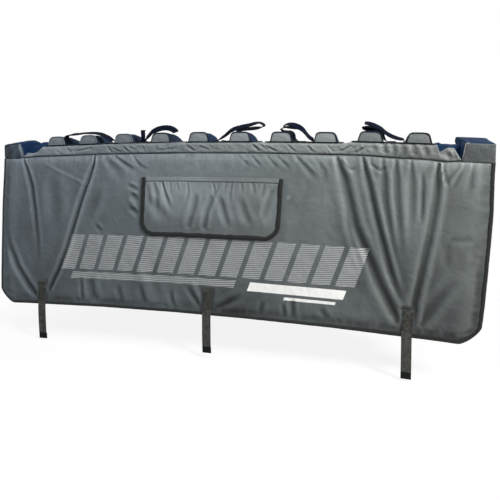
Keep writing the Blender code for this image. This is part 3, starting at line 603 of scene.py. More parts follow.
PANEL_FOLDS = [
    # the left fan
    ([(-614, -8), (-599, -40), (-582, -92), (-568, -167), (-556, -250), (-549, -340)],
     7, 4.6, 2.8, 1.8, 0.05, 0.7),
    ([(-375, -22), (-391, -67), (-412, -127), (-437, -209), (-458, -276), (-484, -344), (-519, -413)],
     7, 7.0, 4.0, 2.8, 0.12, 0.04),
    ([(-673, -209), (-657, -265), (-625, -338), (-584, -397), (-552, -432)],
     10, 5.4, 2.6, 2.8, 0.5, 0.05),
    ([(-352, -88), (-372, -140), (-400, -209)], 18, 4.0, 2.0, 2.0, 0.5, 0.5),
    ([(-536, -23), (-455, -60), (-372, -100)], 5, -1.5, 0.0, 0.0, 0.4, 0.3),
    ([(-520, -40), (-500, -130), (-492, -240)], 22, 3.2, 2.0, 2.0, 0.4, 0.5),
    ([(-408, -352), (-403, -390), (-399, -436)], 6, 4.4, 1.6, 1.4, 0.5, 0.05),
    ([(-376, -352), (-370, -400), (-358, -440)], 14, 6.5, 3.2, 1.8, 0.4, 0.05),
    ([(-364, -205), (-340, -225)], 6, 1.8, 1.2, 0.6, 0.3, 0.3),
    # left of the flap
    ([(-259, -151), (-224, -174)], 7, 3.4, 2.0, 1.2, 0.3, 0.3),
    ([(-256, -112), (-224, -135)], 7, 3.4, 2.0, 1.2, 0.3, 0.3),
    ([(-265, -88), (-230, -104)], 6, 2.6, 1.6, 1.0, 0.3, 0.3),
    ([(-262, -130), (-234, -152)], 6, -2.2, 0.0, 0.0, 0.3, 0.3),
    ([(-306, -8), (-272, -30), (-239, -50)], 8, 4.0, 2.4, 1.4, 0.2, 0.4),
    ([(-336, -14), (-300, -46), (-272, -84)], 13, 3.8, 2.4, 2.0, 0.3, 0.5),
    ([(-250, -8), (-228, -34), (-200, -46)], 7, 3.0, 1.8, 1.0, 0.1, 0.4),
    # lower middle
    ([(-228, -300), (-196, -372), (-168, -436)], 20, -4.4, -1.2, -1.2, 0.4, 0.08),
    ([(-214, -372), (-196, -432)], 8, 3.6, 0.8, 0.8, 0.5, 0.05),
    ([(-284, -376), (-268, -436)], 9, 3.0, 1.8, 1.4, 0.4, 0.05),
    ([(-120, -384), (-108, -438)], 7, 2.8, 1.6, 1.0, 0.4, 0.05),
    ([(-58, -350), (-38, -390), (-20, -416)], 8, -3.4, -1.0, -1.0, 0.5, 0.05),
    ([(-76, -366), (-50, -400), (-26, -430)], 7, 3.4, 1.0, 1.4, 0.5, 0.05),
    ([(95, -380), (60, -402), (18, -428)], 10, 3.4, 1.8, 1.4, 0.5, 0.05),
    ([(150, -392), (142, -440)], 8, 2.6, 1.6, 1.2, 0.4, 0.05),
    ([(204, -395), (211, -440)], 6, 3.6, 1.6, 1.0, 0.3, 0.05),
    ([(228, -375), (233, -441)], 7, 4.2, 2.2, 1.2, 0.4, 0.05),
    ([(300, -396), (330, -440)], 9, 3.0, 1.6, 1.4, 0.4, 0.05),
    # under the seam, right of the middle
    ([(60, -8), (96, -38)], 7, 2.8, 1.8, 1.0, 0.1, 0.4),
    ([(96, -8), (124, -36)], 6, 3.4, 2.2, 1.2, 0.1, 0.4),
    ([(138, -8), (172, -42)], 6, 3.6, 2.2, 1.2, 0.1, 0.4),
    ([(164, -6), (200, -38)], 6, 3.4, 2.2, 1.2, 0.1, 0.4),
    ([(214, -6), (252, -44), (276, -70)], 8, 3.6, 2.4, 1.6, 0.1, 0.4),
    ([(262, -6), (288, -40), (300, -80)], 8, 3.4, 2.2, 1.6, 0.1, 0.5),
    ([(176, -137), (206, -108)], 6, -2.8, -0.8, -0.8, 0.3, 0.3),
    # the right fan
    ([(318, -8), (336, -50), (352, -105), (374, -179), (408, -245), (446, -325), (482, -386),
      (506, -422)], 12, 7.5, 5.5, 3.0, 0.08, 0.03),
    ([(383, -8), (402, -74), (424, -148), (449, -223), (470, -290), (498, -361)],
     8, 6.5, 5.0, 2.0, 0.05, 0.25),
    ([(342, -110), (360, -190), (388, -260), (420, -330)], 7, 2.6, 1.6, 1.2, 0.4, 0.4),
    ([(431, -10), (444, -110), (467, -210), (488, -300)], 9, 4.4, 3.0, 2.0, 0.05, 0.5),
    ([(462, -10), (470, -99), (482, -180), (495, -261)], 9, 4.6, 3.0, 2.0, 0.05, 0.5),
    ([(560, -6), (560, -93), (553, -181), (541, -285), (532, -361), (530, -424)],
     9, 7.0, 5.0, 3.0, 0.04, 0.06),
    ([(527, -30), (533, -168)], 5, 3.8, 2.2, 1.6, 0.2, 0.3),
    ([(498, -10), (506, -90), (510, -190)], 8, 3.6, 2.0, 2.0, 0.05, 0.5),
    ([(572, -22), (585, -66)], 6, 4.2, 0.5, 2.6, 0.2, 0.2),
    ([(612, -14), (585, -68)], 6, -3.8, -2.0, -2.0, 0.2, 0.2),
    ([(640, -10), (632, -90)], 9, 3.0, 2.0, 1.6, 0.1, 0.5),
    ([(619, -284), (582, -350), (545, -418)], 13, 2.8, 1.9, 1.6, 0.5, 0.05),
    ([(590, -196), (655, -188)], 8, 1.4, 0.0, 1.0, 0.3, 0.3),
    ([(590, -196), (597, -268)], 9, 1.4, 0.0, 1.0, 0.3, 0.3),
    ([(655, -190), (650, -270)], 9, 1.2, 0.8, 0.0, 0.3, 0.3),
    ([(330, -16), (350, -36), (372, -30)], 6, 2.6, 1.4, 1.0, 0.3, 0.3),
    ([(404, -20), (424, -34), (446, -22)], 6, 3.0, 1.4, 1.0, 0.3, 0.3),
]
BROAD = [
    # centre, half sizes and how far it stands out, for the soft swelling between folds
    ((-500, -150), (70, 150), 4.0),
    ((-640, -120), (45, 150), 3.5),
    ((-470, -390), (60, 60), 3.0),
    ((-320, -150), (60, 120), 3.5),
    ((290, -140), (45, 130), 5.0),
    ((620, -330), (60, 100), 4.0),
    ((520, -280), (22, 130), 4.0),
    ((120, -390), (120, 55), 3.5),
    ((-280, -400), (90, 50), 3.5),
    ((330, -390), (90, 50), 3.5),
]


def box_distance(x, z, left, right_edge, low, high):
    return np.hypot(np.maximum(0, np.maximum(left - x, x - right_edge)),
                    np.maximum(0, np.maximum(low - z, z - high)))


CUT_CORNER = 1.35
FOLD_LOW, FOLD_SIDE = 0.62, 0.74


def panel_edge(x, z):
    return edge_distance(x, z, HALF_WIDTH, PANEL_DROP, PANEL_CORNER, CUT_CORNER)


def panel_calm(x, z):
    calm = step((panel_edge(x, z) - 0.010) / 0.022)
    flap = box_distance(x, z, FLAP_OFFSET - FLAP_HALF, FLAP_OFFSET + FLAP_HALF,
                        FLAP_TOP - FLAP_DROP, FLAP_TOP)
    calm = calm * step((flap - 0.004) / 0.020)
    for centre in STRAP_XS:
        patch = box_distance(x, z, centre - WEBBING / 2, centre + WEBBING / 2, -PANEL_DROP,
                             -PANEL_DROP + STRAP_PATCH_RISE + STRAP_PATCH)
        calm = calm * step((patch - 0.002) / 0.012)
    return calm


def panel_relief(x, z):
    """How far the panel's face falls back (+) or stands out (-), in metres."""
    px, pz = x / MM, z / MM
    depth = np.zeros(x.shape)
    for line, width, *depths, fade_in, fade_out in PANEL_FOLDS:
        if line[0][1] > -25:
            line, fade_in = [(line[0][0], 4.0), *line], 0.03
        weight = FOLD_LOW if line[0][1] < -290 else FOLD_SIDE if line[0][0] > 300 else 1.0
        if line[-1][1] > -90 and line[0][0] < 300:
            weight = 0.50 + 0.2 * math.sin(line[0][0])
        fold = (line, width, *(part * weight for part in depths), fade_in, fade_out)
        depth = depth + fold_depth(px, pz, fold)
    for (cx, cz), (wx, wz), rise in BROAD:
        depth = depth - rise * np.exp(-((px - cx) / wx) ** 2 - ((pz - cz) / wz) ** 2)
    depth = depth + np.exp(pz / 45) * fractal(px / 13, pz / 60, 11, 3)
    depth = depth + fractal(px / 75 + 0.002 * pz, pz / 100, 5, 3)
    return depth * MM * step(-z / 0.007)


def edge_puckers(x, z):
    """Small puckers of the cloth where it goes into the binding."""
    away = panel_edge(x, z)
    run = np.where(np.abs(x) > HALF_WIDTH - 0.05, z, x)
    near = np.exp(-((away - 0.018) / 0.010) ** 2)
    return 0.0008 * near * fractal(run / 0.013, away / 0.05, 23, 2)


def panel_front(x, z):
    edge = panel_edge(x, z)
    swell = -0.0022 * step((edge - 0.012) / 0.035)
    top_roll = 0.0035 * np.exp(z / 0.0022)
    relief = panel_relief(x, z) * panel_calm(x, z)
    return FRONT + relief + swell * step(-z / 0.02) + top_roll + edge_puckers(x, z)


# patches of painted light (+) and painted shade (-) on the face: middle, reach and strength
PATCHES = [
    ((0.255, -0.180), (0.080, 0.120), 0.24),
    ((0.505, -0.150), (0.026, 0.100), 0.38),
    ((0.554, -0.150), (0.018, 0.090), 0.18),
    ((0.388, -0.195), (0.026, 0.080), -0.16),
    ((0.434, -0.150), (0.020, 0.090), -0.16),
    ((-0.170, -0.045), (0.150, 0.050), 0.26),
    ((-0.315, -0.077), (0.080, 0.050), 0.12),
    ((0.060, -0.410), (0.080, 0.050), -0.42),
    ((-0.370, -0.410), (0.080, 0.060), 0.12),
    ((0.400, -0.390), (0.100, 0.060), 0.12),
    ((-0.640, -0.330), (0.060, 0.090), 0.22),
    ((-0.245, -0.070), (0.024, 0.045), 0.16),
    ((-0.140, -0.395), (0.012, 0.045), 0.26),
    ((-0.190, -0.400), (0.012, 0.040), 0.16),
    ((-0.560, -0.090), (0.030, 0.070), -0.08),
]


def panel_shade(x, z, front):
    """Painted light and shade: lighter towards the seam and darker below, as the light falls from
    above; pale on the folds' ridges and dark in their hollows; painted shade in the seam's groove.
    The cloth is also darker at the left and in a band at the right, and has a stain.
    """
    shade = hollow_shade(front, 6, 0.20) + hollow_shade(front, 2, 0.28)
    shade = shade + 0.34 * np.exp(z / 0.12) - 0.20 * step((-z - 0.20) / 0.22)
    for (centre_x, centre_z), (reach_x, reach_z), strength in PATCHES:
        near = ((x - centre_x) / reach_x) ** 2 + ((z - centre_z) / reach_z) ** 2
        shade = shade + strength * np.exp(-near)
    shade = shade + 0.16 * np.exp(z / 0.05) * step((0.35 - x) / 0.3)
    shade = shade - 0.10 * step((-x - 0.36) / 0.14)
    shade = shade - 0.16 * step((x - 0.22) / 0.22) * step((-z - 0.15) / 0.12)
    shade = shade + 0.07 * fractal(x / 0.075, z / 0.11, 91, 3)
    # painted shade in the seam's groove
    shade = shade - 0.75 * np.exp(z / 0.0012)
    stain = step((0.030 - np.abs(x - 0.6225)) / 0.005) * step((0.040 - np.abs(z + 0.229)) / 0.005)
    # a darker band below a soft edge, right of the middle
    darker_band = step((0.026 - np.abs(x - 0.517)) / 0.006) * step((-z - 0.165) / 0.01)
    darker_band = darker_band * step((0.26 + z) / 0.09)
    return shade - 0.13 * stain - 0.09 * darker_band


def panel_back(x, z):
    edge = panel_edge(x, z)
    thickness = BOUND_EDGE + (PANEL_THICKNESS - BOUND_EDGE) * step((edge - 0.014) / 0.022)
    return FRONT + thickness + 0.7 * panel_relief(x, z) * panel_calm(x, z)


window = (FLAP_OFFSET - FLAP_HALF + WINDOW_MARGIN, FLAP_OFFSET + FLAP_HALF - WINDOW_MARGIN,
          FLAP_TOP - WINDOW_MARGIN, FLAP_TOP - FLAP_DROP + WINDOW_MARGIN)
panel_size = (HALF_WIDTH, PANEL_DROP + PANEL_TOP, PANEL_CORNER)
panel_rows = grid_rows([0, 0.012, -window[2] / PANEL_DROP, -window[3] / PANEL_DROP, 0.965, 1.0],
                       3.9 * MM, PANEL_DROP)
panel_rows = np.unique(np.concatenate([panel_rows, [0.003, 0.006]]))


BAR_PITCH, HATCH_PITCH = 0.0625, 0.0056


def print_material():
    """The panel's cloth with a plain print: slanted hatched bars and two pale stripes."""
    material = cloth_material("panel_nylon", GREY, 0.47, vary=0.15, crinkle=0.34, specular=0.24,
                              crinkle_size=36)
    graph = Graph(material)
    cloth = graph.nodes["Principled BSDF"].inputs["Base Color"].links[0].from_socket
    op, at = graph.math, graph.flat_place()
    x, z = at["X"], at["Y"]
    slanted = op("MULTIPLY_ADD", z, -0.30, x)

    def between(value, low, high):
        return op("MULTIPLY", op("GREATER_THAN", value, low), op("LESS_THAN", value, high))

    def box(low, high, left, right_edge):
        return op("MULTIPLY", between(z, low, high), between(slanted, left, right_edge))

    phase = op("FRACT", op("MULTIPLY", op("ADD", slanted, 2.0), 1 / BAR_PITCH))
    bars = op("MULTIPLY", op("LESS_THAN", phase, 0.78), box(-0.338, -0.234, -0.376, 0.498))
    hatched = op("MAXIMUM", bars, box(-0.366, -0.346, -0.330, 0.175))
    hatch = op("FRACT", op("MULTIPLY", op("MULTIPLY_ADD", x, -0.10, z), 1 / HATCH_PITCH))
    hatched = op("MULTIPLY", hatched, op("GREATER_THAN", hatch, 0.34))
    white = op("MAXIMUM", box(-0.372, -0.348, 0.215, 0.470), box(-0.388, -0.380, 0.320, 0.455))
    # the hatched print is worn away in patches
    mottling = op("MULTIPLY_ADD", graph.noise(None, 240.0), 0.5, 0.55, clamp=True)
    pale = graph.mix(op("MULTIPLY", hatched, mottling), cloth, (0.37, 0.38, 0.385, 1))
    graph.shade({"Base Color": graph.mix(white, pale, (0.80, 0.80, 0.78, 1))})
    return material


PANEL_NYLON = print_material()
panel = build_sheet("panel_cover", 0.0, PANEL_TOP, panel_size,
                    grid_columns(HALF_WIDTH, PANEL_CORNER, 4.0 * MM, window[:2]), panel_rows,
                    panel_front, panel_back, window, [PANEL_NYLON], ["outer_panel"],
                    place_hanging, panel_shade, CUT_CORNER)
rim = sheet_rim(0.0, PANEL_TOP, panel_size, 4 * MM, CUT_CORNER)
rim_x = rim[:, 0]
# the tape shows as a narrow line at the left and turns towards the front at the right
tape_width = 0.0045 + 0.0035 * step((rim_x + 0.70) / 0.10)
tape_width = tape_width + 0.003 * step((rim_x - 0.2) / 0.4) - 0.0035 * step((rim_x - 0.655) / 0.02)
# the tape is painted darker, more so at the right: painted shade on its underside and along the edge
build_binding("panel_binding", rim, FRONT, FRONT + BOUND_EDGE, tape_width, ["outer_binding"],
              place_hanging, shade=-0.40 - 0.10 * step((rim_x - 0.3) / 0.3))
stitch_binding("binding_stitches", rim, tape_width - 0.0018,
               FRONT - CLEARANCE - BINDING_TAPE * 1.1, place_hanging)


# Access flap

FLAP_FOLDS = [
    ([(-186, -12), (-180, -50), (-176, -100)], 8, 3.0, 2.0, 1.0, 0.1, 0.5),
    ([(-164, -12), (-154, -50), (-150, -110)], 8, 3.4, 2.4, 1.4, 0.05, 0.5),
    ([(-140, -12), (-126, -52), (-106, -96)], 6, 4.4, 2.8, 2.0, 0.05, 0.5),
    ([(-116, -12), (-110, -44)], 5, 3.2, 2.0, 1.6, 0.05, 0.5),
    ([(-96, -12), (-88, -38)], 5, 3.0, 1.8, 1.4, 0.05, 0.5),
    ([(-66, -12), (-60, -36), (-62, -66)], 5, 3.8, 2.4, 1.8, 0.05, 0.4),
    ([(-34, -40), (-44, -90), (-58, -146)], 9, 5.4, 3.4, 2.6, 0.25, 0.12),
    ([(8, -12), (16, -34), (14, -56)], 5, 4.0, 2.0, 1.6, 0.05, 0.4),
    ([(28, -12), (22, -36), (14, -56)], 5, 3.8, 1.8, 1.4, 0.05, 0.4),
    ([(12, -46), (-4, -92), (-12, -146)], 8, 6.0, 3.6, 2.8, 0.15, 0.1),
    ([(30, -44), (44, -92), (60, -138)], 9, 4.4, 2.8, 2.0, 0.3, 0.3),
    ([(46, -12), (44, -38)], 5, 3.4, 2.0, 1.6, 0.05, 0.5),
    ([(64, -12), (60, -42), (64, -66)], 5, 4.0, 2.2, 1.8, 0.05, 0.5),
    ([(90, -12), (94, -42)], 6, 3.4, 1.8, 1.6, 0.05, 0.5),
    ([(86, -46), (104, -98), (122, -132)], 10, 3.8, 2.4, 2.0, 0.4, 0.3),
    ([(120, -12), (130, -46)], 7, 3.0, 1.8, 1.6, 0.05, 0.5),
    ([(152, -14), (148, -60)], 8, 3.0, 1.8, 1.8, 0.05, 0.5),
    ([(176, -28), (162, -70), (156, -116)], 8, 3.6, 1.2, 2.4, 0.1, 0.3),
    ([(-188, -56), (-150, -90), (-112, -132)], 13, 3.0, 2.0, 1.6, 0.3, 0.4),
]


def flap_front(x, z):
    edge = edge_distance(x, z, FLAP_HALF, FLAP_DROP, FLAP_CORNER)
    px, pz = x / MM, z / MM
    depth = np.zeros(x.shape)
    for fold in FLAP_FOLDS:
        weight = 0.42 if fold[0][-1][1] > -70 else 0.66
        fold = (*fold[:2], *(part * weight for part in fold[2:5]), *fold[5:])
        depth = depth + fold_depth(px, pz, fold)
    gather = np.exp((pz + 12) / 16) * 0.9 * noise(px / 6.0, pz / 80, 31)
    depth = depth + gather + fractal(px / 45, pz / 60, 35, 3)
    calm = step((edge - 0.011) / 0.018) * step((-z - 0.010) / 0.008)
    billow = -0.0045 * step((edge - 0.010) / 0.05) * step((-z - 0.008) / 0.05)
    hem = -0.0010 * step((0.0115 + z) / 0.001)
    hem = hem + 0.0012 * np.exp(-((z + 0.0125) / 0.0012) ** 2)
    thin = FLAP_BACK - BOUND_EDGE
    return thin + depth * MM * calm + billow + hem


def flap_shade(x, z, front):
    """Palest at the upper left, where the flap catches the light."""
    shade = hollow_shade(front, 4, 0.22) + hollow_shade(front, 1, 0.12)
    shade = shade + 0.10 * fractal(x / 0.05, z / 0.06, 95, 3)
    # a painted highlight along the hem and painted shade just under it
    hem = 0.06 * step((0.0115 + z) / 0.001) + 0.16 * np.exp(-((z + 0.0105) / 0.0012) ** 2)
    shade = shade + hem - 0.22 * np.exp(-((z + 0.0135) / 0.0016) ** 2)
    shade = shade + 0.26 * np.exp(-((x - 0.07) / 0.05) ** 2 - ((z + 0.125) / 0.04) ** 2)
    shade = shade - 0.16 * np.exp(-((x - 0.106) / 0.03) ** 2 - ((z + 0.07) / 0.03) ** 2)
    shade = shade + 0.26 * np.exp(-((x + 0.10) / 0.12) ** 2) * step((0.12 + z) / 0.06)
    return shade + 0.14 - 0.30 * step((-z - 0.09) / 0.08)


FLAP_BACK = FRONT - 2 * CLEARANCE - BINDING_TAPE
flap_size = (FLAP_HALF, FLAP_DROP, FLAP_CORNER)
flap_rows = grid_rows([0, 0.070, 0.085, 1.0], 2.4 * MM, FLAP_DROP)
flap_rows = np.unique(np.concatenate([flap_rows, np.linspace(0.066, 0.088, 10)]))
flap = build_sheet("flap_cover", FLAP_OFFSET, FLAP_TOP, flap_size,
                   grid_columns(FLAP_HALF, FLAP_CORNER, 2.4 * MM), flap_rows, flap_front,
                   lambda x, z: np.full(x.shape, FLAP_BACK), None, [FLAP_NYLON],
                   ["access_flap"], place_hanging, flap_shade)
flap_rim = sheet_rim(FLAP_OFFSET, FLAP_TOP, flap_size, 3 * MM)
# the flap's tape is painted darker: painted shadow along the flap's edge
build_binding("flap_edge", flap_rim, FLAP_BACK - BOUND_EDGE, FLAP_BACK, FLAP_TAPE_WIDTH,
              ["flap_binding"], place_hanging, seed=9, shade=np.full(len(flap_rim), -0.55))


# Collar: a padded strip over the tailgate's top edge, gathered at both ends

def collar_profile():
    end = BLOCK_INNER - CLEARANCE
    row_left = CRADLE_CENTRES[0] - BASE_LENGTH / 2
    row_right = CRADLE_CENTRES[-1] + BASE_LENGTH / 2
    loose_left, loose_right = row_left + end, end - RIGHT_BLOCK_REACH - row_right
    lifted = COLLAR_HEIGHT + COLLAR_REAR_LIFT
    return np.array([
        (-end, GATHER_LOW, lifted),
        (row_left - 0.62 * loose_left, GATHER_LOW, lifted),
        (row_left - 0.06 * loose_left, COLLAR_HEIGHT, COLLAR_HEIGHT),
        (row_right + 0.02 * loose_right, COLLAR_HEIGHT, COLLAR_HEIGHT),
        (row_right + 0.16 * loose_right, 0.5 * COLLAR_HEIGHT, lifted),
        (row_right + 0.48 * loose_right, GATHER_FOLD, lifted),
        (row_right + 0.76 * loose_right, GATHER_FOLD, lifted),
        (end - RIGHT_BLOCK_REACH, GATHER_LOW, lifted)])


COLLAR_FOLDS = [
    # on the front face, (x, height) in millimetres, as the panel's folds
    ([(-470, 28), (-452, 8)], 4, 1.6, 0.8), ([(-442, 12), (-380, 22)], 4, 1.2, 0.8),
    ([(-336, 28), (-318, 3)], 4, 1.8, 1.0), ([(-318, 18), (-286, 5)], 4, 1.4, 0.8),
    ([(-290, 27), (-262, 4)], 4, 1.6, 1.0), ([(-270, 24), (-240, 10)], 4, 1.4, 0.8),
    ([(-226, 26), (-214, 4)], 4, 1.4, 0.8), ([(-180, 10), (-120, 14)], 5, 1.0, 0.8),
    ([(-96, 26), (-66, 6)], 4, 1.6, 0.9), ([(-60, 22), (-20, 8)], 5, 1.0, 0.7),
    ([(10, 26), (24, 6)], 4, 1.0, 0.7), ([(92, 28), (118, 5)], 4, 2.0, 1.2),
    ([(112, 28), (140, 8)], 4, 1.8, 1.0), ([(128, 22), (166, 5)], 4, 1.6, 1.0),
    ([(186, 28), (212, 6)], 4, 1.6, 1.0), ([(236, 26), (262, 4)], 4, 1.4, 1.0),
    ([(292, 27), (312, 6)], 4, 1.4, 0.8), ([(320, 8), (352, 24)], 4, 1.8, 1.0),
    ([(356, 4), (386, 20)], 4, 2.2, 1.2), ([(404, 26), (414, 6)], 5, 1.6, 1.0),
    ([(430, 34), (438, 4)], 5, 2.0, 1.2), ([(452, 34), (458, 4)], 5, 1.8, 1.2),
    ([(476, 34), (480, 4)], 5, 1.6, 1.0), ([(500, 34), (508, 4)], 5, 2.0, 1.2),
    ([(526, 30), (536, 2)], 5, 2.2, 1.4), ([(572, 22), (592, 2)], 4, 2.4, 1.2),
    ([(594, 24), (598, 4)], 4, 2.0, 1.0),
]


def build_collar():
    profile = collar_profile()
    xs = np.unique(np.concatenate([np.linspace(profile[0, 0], profile[-1, 0], 330), profile[:, 0]]))
    rings = []
    for x in xs:
        front = float(np.interp(x, profile[:, 0], profile[:, 1]))
        rear = float(np.interp(x, profile[:, 0], profile[:, 2]))
        level = min(COLLAR_HEIGHT, rear)
        low = 0.0010
        ring = [(-0.0430, 0.0), (-0.0430, low), (FRONT + 0.0035, low)]
        up_front = np.linspace(0, 1, 15)
        radius = min(0.008, 0.55 * front)
        for share in up_front:
            z = low + 0.0008 + share * (front - radius - low - 0.0008)
            bulge = 0.0035 * (1 - math.exp(-(share * (front - radius) + 0.0004) / 0.0018))
            ring.append((FRONT + 0.0035 - bulge, z))
        for angle in np.radians(np.linspace(0, 90, 8)[1:]):
            ring.append((FRONT + radius * (1 - math.cos(angle)),
                         front - radius + radius * math.sin(angle)))
        drop_y = FRONT + radius
        for share in np.linspace(0, 1, 14)[1:]:
            y = drop_y + share * (REAR - 0.007 - drop_y)
            blend = float(step((y - drop_y) / (0.006 if front >= level else 0.05)))
            z = front + (rear - front) * blend
            if front >= level - 1e-9:
                z = min(z, max(front + (level - front) * blend, level if rear <= level else z))
            ring.append((y, z))
        for angle in np.radians(np.linspace(90, 0, 6)[1:]):
            ring.append((REAR - 0.007 + 0.007 * math.cos(angle),
                         rear - 0.007 + 0.007 * math.sin(angle)))
        for share in np.linspace(1, 0, 8)[1:]:
            ring.append((REAR, low + share * (rear - 0.007 - low)))
        ring += [(0.045, low), (0.045, 0.0)]
        rings.append([(x, y, z) for y, z in ring])
    rings = np.array(rings)
    n, m = rings.shape[:2]
    X, Y, Z = rings[..., 0], rings[..., 1], rings[..., 2]
    under = (np.arange(m) < 3) | (np.arange(m) >= m - 2)
    # creases of the front face and of the loose ends
    on_front = step((Z - 0.0018) / 0.004) * step((-0.040 - Y) / 0.010)
    depth = np.zeros(X.shape)
    # drawn 80 mm lower, below the part of a sheet where fold_depth narrows the folds
    for line, width, valley, ridge in COLLAR_FOLDS:
        width = width * (1.3 if line[0][0] > 400 else 0.75)
        near = np.hypot(*(np.array(line[0]) - np.array(line[1]))) / 30
        fold = ([(a, b - 80) for a, b in line], width, 1.35 * valley, 1.35 * ridge, 0.6 * ridge,
                0.3, 0.3)
        depth = depth + fold_depth(X / MM, Z / MM - 80, fold) * min(near, 1.2)
    depth = depth + 0.9 * fractal(X / 0.030 + Z / 0.022, Z / 0.020, 41, 3)
    Y = Y + np.where(under, 0, depth * MM * on_front * 0.9)
    # painted light and shade: pale on the creases' ridges and dark in their hollows, and painted
    # shade in the seam's groove at the collar's foot
    shade = -0.24 * np.tanh((depth - smoothed(depth, 3)) / 0.8) * on_front
    shade = shade - 0.75 * np.exp(-(Z - 0.001) / 0.0012) * step((-0.040 - Y) / 0.010)
    shade = shade + (0.17 * step((-X - 0.40) / 0.1) - 0.19 * step((X - 0.42) / 0.06)) * on_front
    shade = shade + 0.10 * fractal(X / 0.06, Z / 0.02, 43, 2) * on_front
    row_left, row_right = profile[2, 0], profile[3, 0]
    loose = np.maximum(step((row_left - X) / 0.012), step((X - row_right) / 0.012))
    crumple = 0.0022 * fractal(X / 0.028, Y / 0.030, 47, 3)
    top = step((Z - 0.004) / 0.006)
    heap = 0.011 * np.exp(-((X + 0.604) / 0.014) ** 2) * step((Y + 0.005) / 0.03)
    Z = Z + np.where(under, 0, (crumple * loose + heap) * top)
    points = np.stack([X, Y, Z], -1).reshape(-1, 3)
    # navy begins a little behind the front's rounding: painted shade and painted sky reflection on
    # the top and rear
    marks = np.concatenate([rings[:-1, :-1], rings[:-1, :1]], 1)
    behind = marks[..., 1] > FRONT + 0.012 + np.where(marks[..., 0] > 0, 0.004, 0.0)
    kinds = [*(behind & (marks[..., 2] > 0.004)).T.ravel().astype(int), 0, 0]
    return add_piece("collar_cover", place(points), tube_faces(n, m, outward=False),
                     [COLLAR_NYLON, SHADED_NAVY], ["top_collar"], face_materials=kinds,
                     shade=shade)


collar = build_collar()


# End blocks

def block_shape(side):
    """A foam block in a sewn cover: rings of points from its inner side outwards, and for each
    point of a ring its face (front, top, rear, underside) and its place on it from 0 to 1."""
    section = []
    low = 0.0006
    corners = [(FRONT, low), (FRONT, BLOCK_FRONT_HEIGHT), (REAR, BLOCK_REAR_HEIGHT), (REAR, low)]
    for k, (a, b) in enumerate(zip(corners, corners[1:] + corners[:1])):
        shares = np.linspace(0, 1, (12, 16, 12, 12)[k], endpoint=False)
        near = np.array([1.5, 3.0, 4.5]) * MM / math.hypot(b[0] - a[0], b[1] - a[1])
        for t in np.unique(np.concatenate([shares, near, 1 - near])):
            section.append((a[0] + (b[0] - a[0]) * t, a[1] + (b[1] - a[1]) * t, k, t))
    rings = []
    for along_x in np.concatenate([[0.0, 0.012, 0.035], np.linspace(0.07, 0.93, 27),
                                   [0.965, 0.988, 1.0]]):
        ring = []
        for y, z, _, _ in section:
            lean = BLOCK_LEAN * (z / BLOCK_FRONT_HEIGHT) * (1 - along_x)
            if side > 0:
                # the right-hand cover reaches further in, most of all high up at its rear
                lean -= RIGHT_BLOCK_REACH * (1 - along_x) - 0.0015 * along_x
                rear_high = float(step((y + 0.02) / 0.07) * step((z - 0.030) / 0.014))
                lean -= 0.010 * rear_high * (1 - along_x)
            ring.append((side * (BLOCK_INNER + along_x * BLOCK_WIDTH + lean), y, z))
        rings.append(ring)
    return np.array(rings), section


